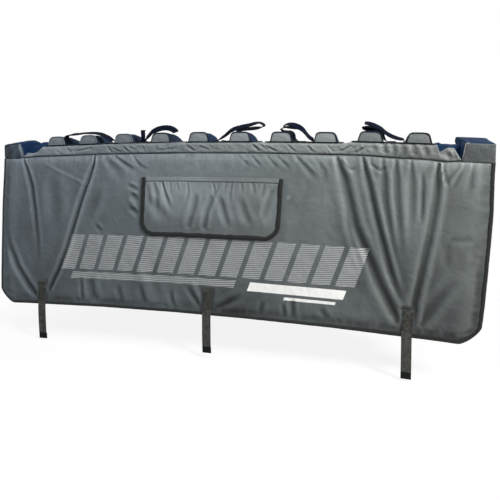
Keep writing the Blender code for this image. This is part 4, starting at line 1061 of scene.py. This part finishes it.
def build_block(name, side, node):
    rings, section = block_shape(side)
    n, m = rings.shape[:2]
    X, Y, Z = rings[..., 0].copy(), rings[..., 1].copy(), rings[..., 2].copy()
    along_x = (np.abs(X) - BLOCK_INNER) / BLOCK_WIDTH
    # pull the corners in and let the faces swell slightly
    radius = 0.004
    edge_x = np.minimum(np.abs(X - X.min(0)), np.abs(X.max(0) - X))
    pinch = np.maximum(0, radius - edge_x) / radius
    shrink = radius * (1 - np.sqrt(np.maximum(0, 1 - pinch ** 2)))
    kind, t = (np.array([point[i] for point in section])[None, :].repeat(n, 0) for i in (2, 3))
    Yn = np.where(kind == 0, -1.0, np.where(kind == 2, 1.0, 0.0))
    Zn = np.where(kind == 1, 1.0, 0.0)
    for inward, height in ((1, BLOCK_FRONT_HEIGHT), (-1, BLOCK_REAR_HEIGHT)):
        from_y = Y - ((FRONT if inward > 0 else REAR) + inward * BLOCK_ROUNDING)
        from_z = Z - (height - BLOCK_ROUNDING)
        reach = np.hypot(from_y, from_z)
        beyond = (from_y * inward < 0) & (from_z > 0) & (reach > BLOCK_ROUNDING)
        pull = np.where(beyond, 1 - BLOCK_ROUNDING / np.maximum(reach, 1e-6), 0.0)
        Y, Z = Y - from_y * pull, Z - from_z * pull
    Yc = Y - Yn * shrink
    Zc = Z - Zn * shrink
    crumple = fractal(X / 0.020 + side * 3, (Y + Z) / 0.020, 53 + side, 3)
    crumple = crumple * (2.6 if side < 0 else 1.2)
    swell = np.sin(np.pi * np.clip(along_x, 0, 1)) * np.sin(np.pi * t)
    Yc = Yc + Yn * (0.0016 * swell + 0.0009 * crumple * swell)
    Zc = Zc + Zn * (0.0020 * swell + 0.0010 * crumple * swell)
    inner = 1 - np.clip(along_x, 0, 1)
    if side < 0:
        # a slack cover: it falls away at its inner rear corner, with a pinched fold in front
        Zc = Zc - 0.010 * (Z / 0.05) * step((inner - 0.45) / 0.5) * step((Y - 0.005) / 0.045)
        pinch_line = np.exp(-((inner - 0.93) / 0.07) ** 2)
        Yc = Yc - Yn * 0.0035 * pinch_line + Yn * 0.0020 * np.exp(-((inner - 0.74) / 0.10) ** 2)
    else:
        Zc = Zc + 0.0015 * (Z / 0.05) * step(Y / 0.05)
    Zc = np.where(kind == 3, 0.0006 + shrink * 0.4, Zc)
    points = np.stack([X, Yc, np.maximum(Zc, 0.0005)], -1)
    faces = tube_quads(n, m, outward=False)
    kinds = [0 if point[2] == 0 else 1 for point in section for _ in range(n - 1)]
    # the two ends, as fans of rings towards their middles
    extra = []
    for i, out, end_kind in ((0, -side, 1), (n - 1, side, 0)):
        ring, previous = points[i], np.arange(i * m, (i + 1) * m)
        middle, turn = ring.mean(0), 1 if i == 0 else -1
        for share in (0.9, 0.7, 0.45, 0.2):
            new = np.arange(m) + n * m + len(extra)
            bulge = 0.0016 * (1 - share ** 2)
            shifted = middle + (ring - middle) * share + np.array([out * bulge, 0, 0])
            extra.extend(shifted.tolist())
            quads = np.stack([previous, np.roll(previous, -1), np.roll(new, -1), new], 1)
            faces += quads[:, ::turn].tolist()
            previous = new
        tip = np.full(m, n * m + len(extra))
        extra.append((middle + np.array([out * 0.0017, 0, 0])).tolist())
        faces += np.stack([previous, np.roll(previous, -1), tip], 1)[:, ::turn].tolist()
        kinds += [end_kind] * (5 * m)
    all_points = np.concatenate([points.reshape(-1, 3), np.array(extra)])
    if side < 0:
        faces = [f[::-1] for f in faces]
        # painted highlight along the pinched crease and painted light towards the top, with a
        # mottling that darkens the outer side
        in_x = (np.abs(all_points[:, 0]) - BLOCK_INNER) / BLOCK_WIDTH
        high = all_points[:, 2] / BLOCK_FRONT_HEIGHT
        in_front = step((-0.045 - all_points[:, 1]) / 0.004)
        crease = 2.4 * np.exp(-((in_x - 0.07 - 0.12 * high) / 0.026) ** 2)
        mottling = 0.45 * fractal(in_x * 4 + high, high * 2.2, 67, 3) - 0.30 * step((in_x - 0.55) / 0.3)
        shade = (crease + mottling + 0.25 * (high - 0.5)) * in_front
    else:
        # painted light on the navy inner side of the right block
        inner_side = np.arange(len(all_points)) >= n * m
        inner_side &= all_points[:, 0] < BLOCK_INNER + BLOCK_WIDTH / 2
        inner_side[:m] = True
        shade = 0.9 * inner_side
    # the front and the outer end take the face's cloth; the top, rear, underside and inner end take
    # the navy of painted shade and sky reflection
    return add_piece(name, place(all_points), faces, [LEFT_BLOCK if side < 0 else RIGHT_BLOCK, SHADED_NAVY],
                     [node], face_materials=kinds, shade=shade)


def tube(name, lines, radius, material, sides=8):
    """Thin round cords, such as piping, along lines of points."""
    points, faces = [], []
    for line in lines:
        line = np.array(line, float)
        tangent = np.gradient(line, axis=0)
        tangent /= np.linalg.norm(tangent, axis=1)[:, None]
        reference = np.array([0.0, 1.0, 0.0])
        if abs(tangent[0] @ reference) > 0.9:
            reference = np.array([1.0, 0.0, 0.0])
        faces += [[len(points) + k for k in face] for face in tube_faces(len(line), sides)]
        for p, t in zip(line, tangent):
            a = np.cross(t, reference)
            if np.linalg.norm(a) < 1e-6:
                a = np.cross(t, np.array([0.0, 0.0, 1.0]))
            a /= np.linalg.norm(a)
            b = np.cross(t, a)
            for angle in np.linspace(0, 2 * math.pi, sides, endpoint=False):
                points.append(p + radius * (math.cos(angle) * a + math.sin(angle) * b))
    add_piece(name, place(points), faces, [material], (), sharp=None)


LIGHT_PIPING = cloth_material("light_piping", (0.20, 0.21, 0.21), 0.5, crinkle=0.1, weave=4000)
for side, label in ((-1, "left"), (1, "right")):
    block = build_block(f"block_cover_{label}", side, f"end_block_{label}")
    x0 = side * (BLOCK_INNER + 0.0010) - (RIGHT_BLOCK_REACH if side > 0 else 0.0)
    x1 = side * (BLOCK_INNER + BLOCK_WIDTH - 0.001)
    top_z = BLOCK_FRONT_HEIGHT
    lean = side * BLOCK_LEAN
    outline = [(x0, FRONT - 0.0002, 0.002), (x0 + lean * 0.5, FRONT - 0.0002, 0.5 * top_z),
               (x0 + lean * 0.93, FRONT + 0.0002, top_z - 0.0025)]
    across = [(x0 + lean + (x1 - x0 - lean) * s, FRONT + 0.0014, top_z - 0.0014)
              for s in np.linspace(0.04, 0.96, 14)]
    down = [(x1, FRONT + 0.0004, top_z - 0.004), (x1, FRONT + 0.0002, 0.5 * top_z),
            (x1, FRONT + 0.0002, 0.003)]
    lines = [across + down] if side < 0 else [outline + across[:2]]
    tube(f"block_piping_{label}", lines, 0.0008 if side < 0 else 0.0010,
         PIPING if side < 0 else LIGHT_PIPING)


# Cradle bases

def build_base(number, centre):
    across, deep, corner = BASE_LENGTH / 2, (REAR - FRONT) / 2 - BASE_SETBACK, 0.012
    outline = []
    for cx, cy, start in ((across - corner, deep - corner, 0), (-across + corner, deep - corner, 90),
                          (-across + corner, -deep + corner, 180),
                          (across - corner, -deep + corner, 270)):
        for angle in np.radians(np.linspace(start, start + 90, 9)):
            outline.append((cx + corner * math.cos(angle), cy + corner * math.sin(angle)))
    outline = np.array(outline)
    fine = []
    for a, b in zip(outline, np.roll(outline, -1, 0)):
        steps = max(1, int(np.linalg.norm(b - a) / 0.008))
        fine += [a + (b - a) * s / steps for s in range(steps)]
    outline = np.array(fine)
    normals = np.roll(outline, -1, 0) - np.roll(outline, 1, 0)
    normals = np.stack([normals[:, 1], -normals[:, 0]], 1)
    normals /= np.linalg.norm(normals, axis=1)[:, None]
    half = BASE_THICKNESS / 2
    rings = []
    for inset, z in ((0.020, 0.0), (0.0012, 0.0), (0.0, 0.4 * half), (0.0, 1.6 * half),
                     (0.0010, 2 * half), (0.0050, 2 * half + 0.0002), (0.0062, 2 * half - 0.0002),
                     (0.0075, 2 * half), (0.020, 2 * half)):
        ring = outline - normals * inset
        level = np.full(len(ring), BASE_LEVEL + z)
        rings.append(np.stack([ring[:, 0] + centre, ring[:, 1], level], 1))
    points = np.concatenate(rings)
    faces = tube_faces(len(rings), len(outline))
    item = add_piece(f"base_cover_{number}", place(points), faces, [BASE],
                     [f"cradle_base_{number}"])


# Bumpers: a grey front face, piping round it and a gusset that falls to the rear, navy as painted
# shade and sky reflection

def bumper_outline():
    half = BUMPER_WIDTH / 2
    right_side = [(half, 0.0), (half - 0.0012, 0.25), (half - 0.0028, 0.5)]
    for angle in np.radians(np.linspace(12, 90, 10)):
        right_side.append((half - 0.0034 - 0.0105 * (1 - math.cos(angle)),
                           0.60 + 0.385 * math.sin(angle)))
    for s in (0.75, 0.5, 0.25):
        right_side.append(((half - 0.0139) * s, 1.0))
    left = [(-x, z) for x, z in reversed(right_side)]
    return np.array(right_side + [(0.0, 1.0)] + left)


def build_bumper(number, centre):
    """Makes one bumper and returns the line of the piping round its face."""
    wobble = np.random.default_rng(100 + number).uniform(-1, 1, 6)
    outline = bumper_outline()
    taper, wide = BUMPER_TAPER[number - 1], 1.06 if number == 9 else 1.0
    outline[:, 0] = outline[:, 0] * wide - np.sign(outline[:, 0]) * taper * np.where(
        outline[:, 0] < 0, 1.0, 0.5) * outline[:, 1] ** 1.5
    front, rear = FRONT + 0.001, REAR - 0.001
    points = []
    # the front face, from its middle out to the piping
    middle_z = BUMPER_LEVEL + 0.48 * BUMPER_HEIGHT
    shares = (0.12, 0.35, 0.6, 0.82, 0.95, 1.0)
    for share in shares:
        puff = 0.0016 * (1 - share ** 2) - 0.0006
        for x, z in outline:
            px = centre + x * share
            pz = middle_z + (BUMPER_LEVEL + z * BUMPER_HEIGHT - middle_z) * share
            ripple = 0.0006 * float(noise(np.array(px / 0.011), np.array(pz / 0.011), 60 + number))
            points.append((px, front + 0.0008 - puff + ripple * (1 - share), pz))
    # the gusset, which falls to the rear
    angles = np.radians([4, 9, 15, 22, 30, 38, 46, 54, 61, 68, 74, 79, 84, 88])
    for angle in angles:
        y = front + (rear - front) * math.sin(angle)
        height = BUMPER_TAIL + (BUMPER_HEIGHT - BUMPER_TAIL) * math.cos(angle)
        belly = 1.0 + 0.012 * math.sin(2 * angle)
        for x, z in outline:
            fold = 0.0010 * float(noise(np.array(x / 0.014 + 9 * wobble[1]), np.array(y / 0.016),
                                        70 + number)) * z
            points.append((centre + x * belly * (1 - 0.02 * math.sin(angle)), y,
                           BUMPER_LEVEL + z * height + fold))
    rings, count = len(shares) + len(angles), len(outline)
    faces = [face[::-1] for face in tube_quads(rings, count, outward=False)]
    kinds = [0 if ring < len(shares) - 1 else 1 for _ in outline for ring in range(rings - 1)]
    faces.append([(rings - 1) * count + k for k in range(count)])
    faces += [[(k + 1) % count, k, len(points)] for k in range(count)]
    kinds += [1] + [0] * count
    points.append((centre, front - 0.0010, middle_z))
    shade = np.where(np.array(points)[:, 1] < front + 0.004, BUMPER_TONE[number - 1], 0.0)
    item = add_piece(f"bumper_cover_{number}", place(points), faces,
                     [FACE_NYLON, SHADED_GUSSET if number <= 4 else SHADED_NAVY],
                     [f"frame_bumper_{number}"], face_materials=kinds, sharp=60,
                     shade=shade)
    return [(centre + x, front + 0.0004, BUMPER_LEVEL + z * BUMPER_HEIGHT - 0.0002)
            for x, z in outline]


piping_lines = []
for number in range(1, 11):
    cradle = CRADLE_CENTRES[(number - 1) // 2]
    centre = cradle + (-1 if number % 2 else 1) * PITCH / 2 + BUMPER_DRIFT[number - 1]
    piping_lines.append(build_bumper(number, centre))
tube("bumper_piping_left", piping_lines[:3], 0.0011, FACE_NYLON)
tube("bumper_piping", piping_lines[3:], 0.0014, PIPING)
for number, centre in enumerate(CRADLE_CENTRES, start=1):
    build_base(number, centre)


# Webbing

def smooth_route(route, steps):
    route = np.array(route, float)
    padded_route = np.concatenate([route[:1], route, route[-1:]])
    points = []
    for k in range(len(route) - 1):
        a, b, c, d = padded_route[k:k + 4]
        for t in np.arange(steps) / steps:
            points.append(0.5 * (2 * b + (c - a) * t + (2 * a - 5 * b + 4 * c - d) * t * t
                                 + (3 * b - a - 3 * c + d) * t ** 3))
    points.append(route[-1])
    return np.array(points)


WEBBING_FRONT = [(-1.0, -0.35), (-0.975, -0.9), (-0.85, -1.0), (-0.5, -0.94), (0.0, -1.0),
                 (0.5, -0.94), (0.85, -1.0), (0.975, -0.9), (1.0, -0.35)]
WEBBING_SECTION = WEBBING_FRONT + [(-s, -t) for s, t in WEBBING_FRONT]


def build_webbing(name, path, material, node, placing, width=WEBBING, across="y",
                  edge_wave=0.0, seed=1):
    """A flat woven strap along a path of (x, y, z, twist), with rounded selvedges, and its length."""
    path = np.array(path, float)
    centre, twist = path[:, :3], np.radians(path[:, 3])
    tangent = np.gradient(centre, axis=0)
    tangent /= np.linalg.norm(tangent, axis=1)[:, None]
    flat = np.array([0.0, 1.0, 0.0] if across == "y" else [1.0, 0.0, 0.0])
    flat = flat - (tangent @ flat)[:, None] * tangent
    flat /= np.linalg.norm(flat, axis=1)[:, None]
    up_way = np.cross(tangent, flat)
    wide = flat * np.cos(twist)[:, None] + up_way * np.sin(twist)[:, None]
    thick = np.cross(tangent, wide)
    shape = [(s * width / 2, t * (WEBBING_THICKNESS / 2)) for s, t in WEBBING_SECTION]
    travelled = travel(centre)
    wave = edge_wave * fractal(travelled / 0.03, travelled * 0, seed, 2)
    rings = [centre + wide * a + thick * (b + wave * (a / width))[:, None] for a, b in shape]
    n, m = len(centre), len(shape)
    uv = np.stack([np.tile([a for a, _ in shape], n), np.repeat(travelled, m)], 1)
    item = add_piece(name, placing(np.stack(rings, 1).reshape(-1, 3)),
                     tube_faces(n, m, outward=False), [material], [node], flat_uv=uv, sharp=40)
    return item, float(travelled[-1])


half = WEBBING_THICKNESS / 2
on_panel = FRONT - 0.0022 - CLEARANCE - half
on_binding = FRONT - 2 * CLEARANCE - BINDING_TAPE * 1.3 - half
patch_top = -PANEL_DROP + STRAP_PATCH_RISE + STRAP_PATCH
end, bend = -PANEL_DROP - STRAP_HANG, half + 0.0003
path = [(on_panel, z) for z in np.linspace(patch_top, -PANEL_DROP + BINDING_WIDTH + 0.008, 18)]
path += [(on_binding, z) for z in np.linspace(-PANEL_DROP + BINDING_WIDTH, end + bend, 34)]
path += [(on_binding + bend * (1 - math.cos(angle)), end + bend - bend * math.sin(angle))
         for angle in np.radians([45, 90, 135, 180])]
path += [(on_binding + 2 * bend, end + s * STRAP_FOLD) for s in (0.4, 0.7, 1.0)]
for label, centre in zip(SIDES, STRAP_XS):
    sway = [0.0 if z > -PANEL_DROP else 0.0012 * math.sin((z + PANEL_DROP) / 0.03 + centre)
            for _, z in path]
    route = [(centre, y + s, z, 0.0) for (y, z), s in zip(path, sway)]
    strap, length = build_webbing(f"strap_{label}", route, STRAP_WEB, f"lower_strap_{label}",
                                  place_hanging, across="x")
    # the sewn box and cross
    y = on_panel - half - 0.0002
    left, right_edge = centre - WEBBING / 2 + 0.0028, centre + WEBBING / 2 - 0.0028
    low, high = -PANEL_DROP + 0.017, patch_top - 0.003
    mid = (low + high) / 2
    seams = [(left, low, left, high), (left, high, right_edge, high),
             (right_edge, high, right_edge, low), (right_edge, low, left, low),
             (left, mid, right_edge, mid), (left, mid, right_edge, high),
             (left, high, right_edge, mid), (left, low, right_edge, mid),
             (left, mid, right_edge, low)]
    build_stitches(f"strap_stitches_{label}", [[(a, y, b), (c, y, d)] for a, b, c, d in seams],
                   place_hanging, pitch=3.4 * MM, length=2.9 * MM, width=1.4 * MM)


FOOT = None  # a height that means: on the cradle base
FRAME_STRAPS = [
    [(-0.70, FOOT, 0), (-0.96, FOOT, 0), (-1.02, -14, 0), (-1.07, -4, 5), (-1.00, 2.5, 8),
     (-0.60, 4.8, 12), (0.26, 5.2, 17), (1.17, 7, 17), (1.74, 5, 16), (2.10, -1, 16),
     (2.40, -10, 14), (2.62, -19, 6)],
    [(0.60, FOOT, 0), (0.16, FOOT, 0), (-0.06, -19, 14), (0.12, -13.5, 34), (0.46, -4.5, 40),
     (0.84, 5, 42), (1.20, 11, 42), (1.56, 14.5, 38), (1.84, 12.5, 32), (2.04, 7, 28), (2.14, 1, 20)],
    [(-0.88, FOOT, 0), (-0.50, FOOT, 3), (-0.05, -17, 18), (0.42, -9.5, 27), (0.84, -0.5, 30),
     (1.12, 7, 30), (1.45, 12.5, 30), (1.85, 17.5, 26), (2.20, 23, 20), (2.44, 24, 12),
     (2.60, 18, 6), (2.54, 13, -4), (2.34, 10.5, -14), (2.00, 9, -20), (1.60, 6.5, -22),
     (1.30, 4.5, -22)],
    [(0.97, FOOT, 0), (0.92, -21.5, -8), (0.82, -17.5, -18), (0.56, -12, -16), (0.27, -3, -14),
     (-0.11, 8, -24), (-0.52, 14.5, -30), (-0.95, 19, -28), (-1.22, 21, -18), (-1.40, 18, -6),
     (-1.34, 14, 8), (-1.15, 12.5, 14), (-0.85, 11.5, 16), (-0.50, 11, 16)],
    [(0.99, FOOT, 0), (0.97, -21, -6), (0.90, -17.5, -16), (0.60, -16, -20), (0.30, -14, -21),
     (-0.17, -9.5, -24), (-0.66, -1.5, -25), (-1.05, 8, -26), (-1.32, 16.5, -24), (-1.56, 20.5, -20),
     (-1.72, 21.5, -14)],
]
STRAP_TABS = [
    [(0.80, FOOT, 0), (0.40, FOOT, 0), (0.15, -22.3, 0)],
    [(-0.75, FOOT, 0), (-0.36, FOOT, 0), (-0.26, -10, 0), (-0.28, 5, 0), (-0.20, 9, 0),
     (-0.34, 8, 0)],
    [(0.80, FOOT, 0), (0.40, FOOT, 0), (0.15, -22.3, 0)],
    [(0.25, FOOT, 0), (-0.45, FOOT, 0), (-0.82, -17, -8), (-0.95, -6, -14), (-1.10, 1.2, -10),
     (-1.30, 2.2, -9), (-1.45, 3.5, -9), (-1.52, 7, -4), (-1.47, 11, 6), (-1.34, 12, 8)],
    [(0.25, FOOT, 0), (-0.45, FOOT, 0), (-0.80, -15, -16), (-0.97, -3, -20), (-1.20, 5.0, -24),
     (-1.50, 6.2, -28), (-1.72, 7.5, -20), (-1.79, 10.5, -6), (-1.70, 12.5, 8), (-1.50, 12, 14),
     (-1.30, 10.5, 16)],
]


def strap_route(centre, points):
    """points have how far each lies from the cradle's middle (1 is a bumper's near side, 2 its far
    side), its height above the bumpers in millimetres, and the strap's twist."""
    foot = BUMPER_LEVEL + WEBBING_THICKNESS / 2
    route = []
    for across, height, twist in points:
        reach = min(abs(across), 1.0) * SLOT_HALF + max(0.0, abs(across) - 1.0) * BUMPER_WIDTH
        level = foot if height is FOOT else BUMPER_TOP + height * MM
        route.append((centre + math.copysign(reach, across), FRONT + STRAP_SETBACK, level, twist))
    path = smooth_route(route, 8)
    path[:, 2] = np.maximum(path[:, 2], foot)
    return path


for number, centre in enumerate(CRADLE_CENTRES, start=1):
    for kind, designs, node in (("frame_webbing", FRAME_STRAPS, "frame_strap"),
                                ("tab_webbing", STRAP_TABS, "strap_tab")):
        item, length = build_webbing(f"{kind}_{number}", strap_route(centre, designs[number - 1]),
                                     FRAME_WEB, f"{node}_{number}", place,
                                     edge_wave=0.0015, seed=number)


# Inner panel, its binding, buckle tabs and buckles

def inner_back(x, z):
    edge = edge_distance(x, z, INNER_HALF, INNER_DROP, INNER_CORNER)
    swell = 0.0016 * step((edge - 0.012) / 0.03) * step(-z / 0.02)
    relief = 1.2 * fractal(x / 0.09, z / 0.12, 81, 3) + 0.9 * np.exp(z / 0.05) * fractal(
        x / 0.030, z / 0.08, 85, 2)
    calm = step((edge - 0.012) / 0.025) * step(-z / 0.02)
    for centre in STRAP_XS:
        patch = box_distance(x, z, centre - WEBBING / 2, centre + WEBBING / 2, -INNER_DROP,
                             -INNER_DROP + 0.045)
        calm = calm * step((patch - 0.002) / 0.02)
    return REAR + (swell * calm - relief * MM * calm)


def inner_front(x, z):
    edge = edge_distance(x, z, INNER_HALF, INNER_DROP, INNER_CORNER)
    thickness = BOUND_EDGE + (INNER_THICKNESS - BOUND_EDGE) * step((edge - 0.014) / 0.022)
    return REAR - thickness


inner_size = (INNER_HALF, INNER_DROP + PANEL_TOP, INNER_CORNER)
inner = build_sheet("lining_cover", 0.0, PANEL_TOP, inner_size,
                    grid_columns(INNER_HALF, INNER_CORNER, 7 * MM),
                    grid_rows([0, 0.965, 1.0], 7 * MM, INNER_DROP), inner_front, inner_back, None,
                    [NYLON], ["inner_panel"], place)
inner_rim = sheet_rim(0.0, PANEL_TOP, inner_size, 6 * MM)
build_binding("lining_binding", inner_rim, REAR - BOUND_EDGE, REAR, BINDING_WIDTH,
              ["inner_binding"], place, seed=17)
stitch_binding("lining_stitches", inner_rim, BINDING_WIDTH - 0.0022,
               REAR + CLEARANCE + BINDING_TAPE * 1.1, place, normal=(0, 1, 0))


def tab_path():
    """A tab's way down the lining, round the buckle's bar and up again, as (y, z)."""
    width_half = WEBBING_THICKNESS / 2
    bar_top = -INNER_DROP - BUCKLE_GAP
    bar_bottom = bar_top - BUCKLE_BAR
    bar_front = REAR - BOUND_EDGE / 2 - BUCKLE_THICKNESS / 2
    bar_rear = bar_front + BUCKLE_THICKNESS
    sewn_top = -INNER_DROP + TAB_SEWN
    below = -INNER_DROP - BINDING_TAPE - 2 * WEBBING_THICKNESS
    inner_layer = REAR + 2 * CLEARANCE + BINDING_TAPE * 1.3 + width_half
    outer_layer = inner_layer + CLEARANCE + WEBBING_THICKNESS
    front, rear = bar_front - CLEARANCE - width_half, bar_rear + CLEARANCE + width_half
    under = bar_bottom - CLEARANCE - width_half
    corners = [(inner_layer, sewn_top), (inner_layer, below), (front, bar_top), (front, bar_bottom),
               (front, under), (rear, under), (rear, bar_bottom), (rear, bar_top),
               (outer_layer, below), (outer_layer, sewn_top)]
    path = []
    for a, b in zip(corners, corners[1:]):
        a, b = np.array(a), np.array(b)
        steps = max(1, int(np.linalg.norm(b - a) / 0.004))
        path += [a + (b - a) * s / steps for s in range(steps)]
    path.append(np.array(corners[-1]))
    return path


def buckle_material():
    material, graph = new_material("buckle_plastic")
    grain = graph.noise(graph.add("TexCoord")["Object"], 900.0)
    graph.shade({"Base Color": graph.ramp(grain, (0.008, 0.008, 0.009), (0.018, 0.018, 0.019)),
                 "Normal": graph.bump(grain, 0.15, 0.0002), "Roughness": 0.42})
    return material


BUCKLE = buckle_material()
for label, centre in zip(SIDES, STRAP_XS):
    route = [(centre, y, z, 0.0) for y, z in tab_path()]
    item, length = build_webbing(f"tab_{label}", route, STRAP_WEB, f"buckle_tab_{label}",
                                 place, width=WEBBING - 2 * CLEARANCE, across="x")
    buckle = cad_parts[f"buckle_{label}"]
    buckle.data.materials.clear()
    buckle.data.materials.append(BUCKLE)
    bevel = buckle.modifiers.new("rounded", "BEVEL")
    bevel.width = 0.0008
    bevel.segments = 3


# Floor, world and lamps

FLOOR_REACH, FLOOR_GAP = 12.0, 0.004


def background_share(graph):
    """1 for the rays that show the white background: to the camera, in metal and in glass."""
    rays = graph.add("LightPath")
    seen = graph.math("MAXIMUM", rays["Is Camera Ray"], rays["Is Transmission Ray"])
    return graph.math("MAXIMUM", seen, rays["Is Glossy Ray"])


def mix_shaders(graph, share, first, second):
    return graph.add("MixShader", {"Fac": share, 1: first, 2: second})["Shader"]


low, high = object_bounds()
floor_mesh = bpy.data.meshes.new("floor")
floor_mesh.from_pydata([(x * FLOOR_REACH, y * FLOOR_REACH, low.z - FLOOR_GAP)
                        for x, y in ((-1, -1), (1, -1), (1, 1), (-1, 1))], [], [(0, 1, 2, 3)])
floor = bpy.data.objects.new("floor", floor_mesh)
bpy.context.scene.collection.objects.link(floor)
floor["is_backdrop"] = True
material, graph = new_material("floor")
floor_mesh.materials.append(material)
graph.shade({"Base Color": (0.80, 0.80, 0.80, 1), "Roughness": 0.9, "Specular IOR Level": 0.0})
bounce = graph.add("BsdfDiffuse", {"Color": (0.20, 0.21, 0.22, 1)})["BSDF"]
glow = graph.add("Emission", {"Strength": 1.0})["Emission"]
distance = graph.add("VectorMath", {0: graph.add("TexCoord")["Object"]}, operation="LENGTH")
spread = graph.add("MapRange", {"Value": distance["Value"], "From Min": 0.75, "From Max": 1.30,
                                "To Min": 0.86, "To Max": 1.0}, interpolation_type="SMOOTHSTEP")
pale = mix_shaders(graph, spread["Result"], graph.nodes["Principled BSDF"].outputs["BSDF"], glow)
shown = mix_shaders(graph, background_share(graph), bounce, pale)
graph.shade({"Surface": shown}, "Material Output")

world = bpy.data.worlds.new("world")
bpy.context.scene.world = world
graph = Graph(world)
background = graph.nodes["Background"].outputs["Background"]
graph.shade({"Color": (0.96, 0.98, 1.0, 1), "Strength": 0.26}, "Background")
white = graph.add("Background", {"Color": (1, 1, 1, 1), "Strength": 1.0})["Background"]
graph.shade({"Surface": mix_shaders(graph, background_share(graph), background, white)},
            "World Output")


def add_lamp(name, location, target, size_x, size_y, power, colour=(1, 1, 1)):
    data = bpy.data.lights.new(name, "AREA")
    data.shape = "RECTANGLE"
    data.size, data.size_y = size_x, size_y
    data.energy, data.color = power, colour
    item = bpy.data.objects.new(name, data)
    bpy.context.scene.collection.objects.link(item)
    item.location = location
    item.rotation_mode = "QUATERNION"
    way = Vector(np.array(target, float) - np.array(location, float))
    item.rotation_quaternion = way.to_track_quat("-Z", "Y")


add_lamp("key", (2.5, -1.5, 1.7), (0.1, 0, -0.15), 0.8, 0.8, 168, (1.0, 0.985, 0.955))
add_lamp("fill", (-2.4, -2.8, 1.4), (0, 0, -0.2), 2.4, 2.4, 9, (0.86, 0.93, 1.0))
add_lamp("top", (0.0, -0.75, 1.7), (0, 0, -0.1), 2.2, 0.6, 22, (0.94, 0.97, 1.0))
add_lamp("behind", (0.0, 3.2, 1.2), (0, 0, -0.1), 3.0, 2.0, 10)

bpy.context.scene.view_settings.view_transform = "Standard"

low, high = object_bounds()
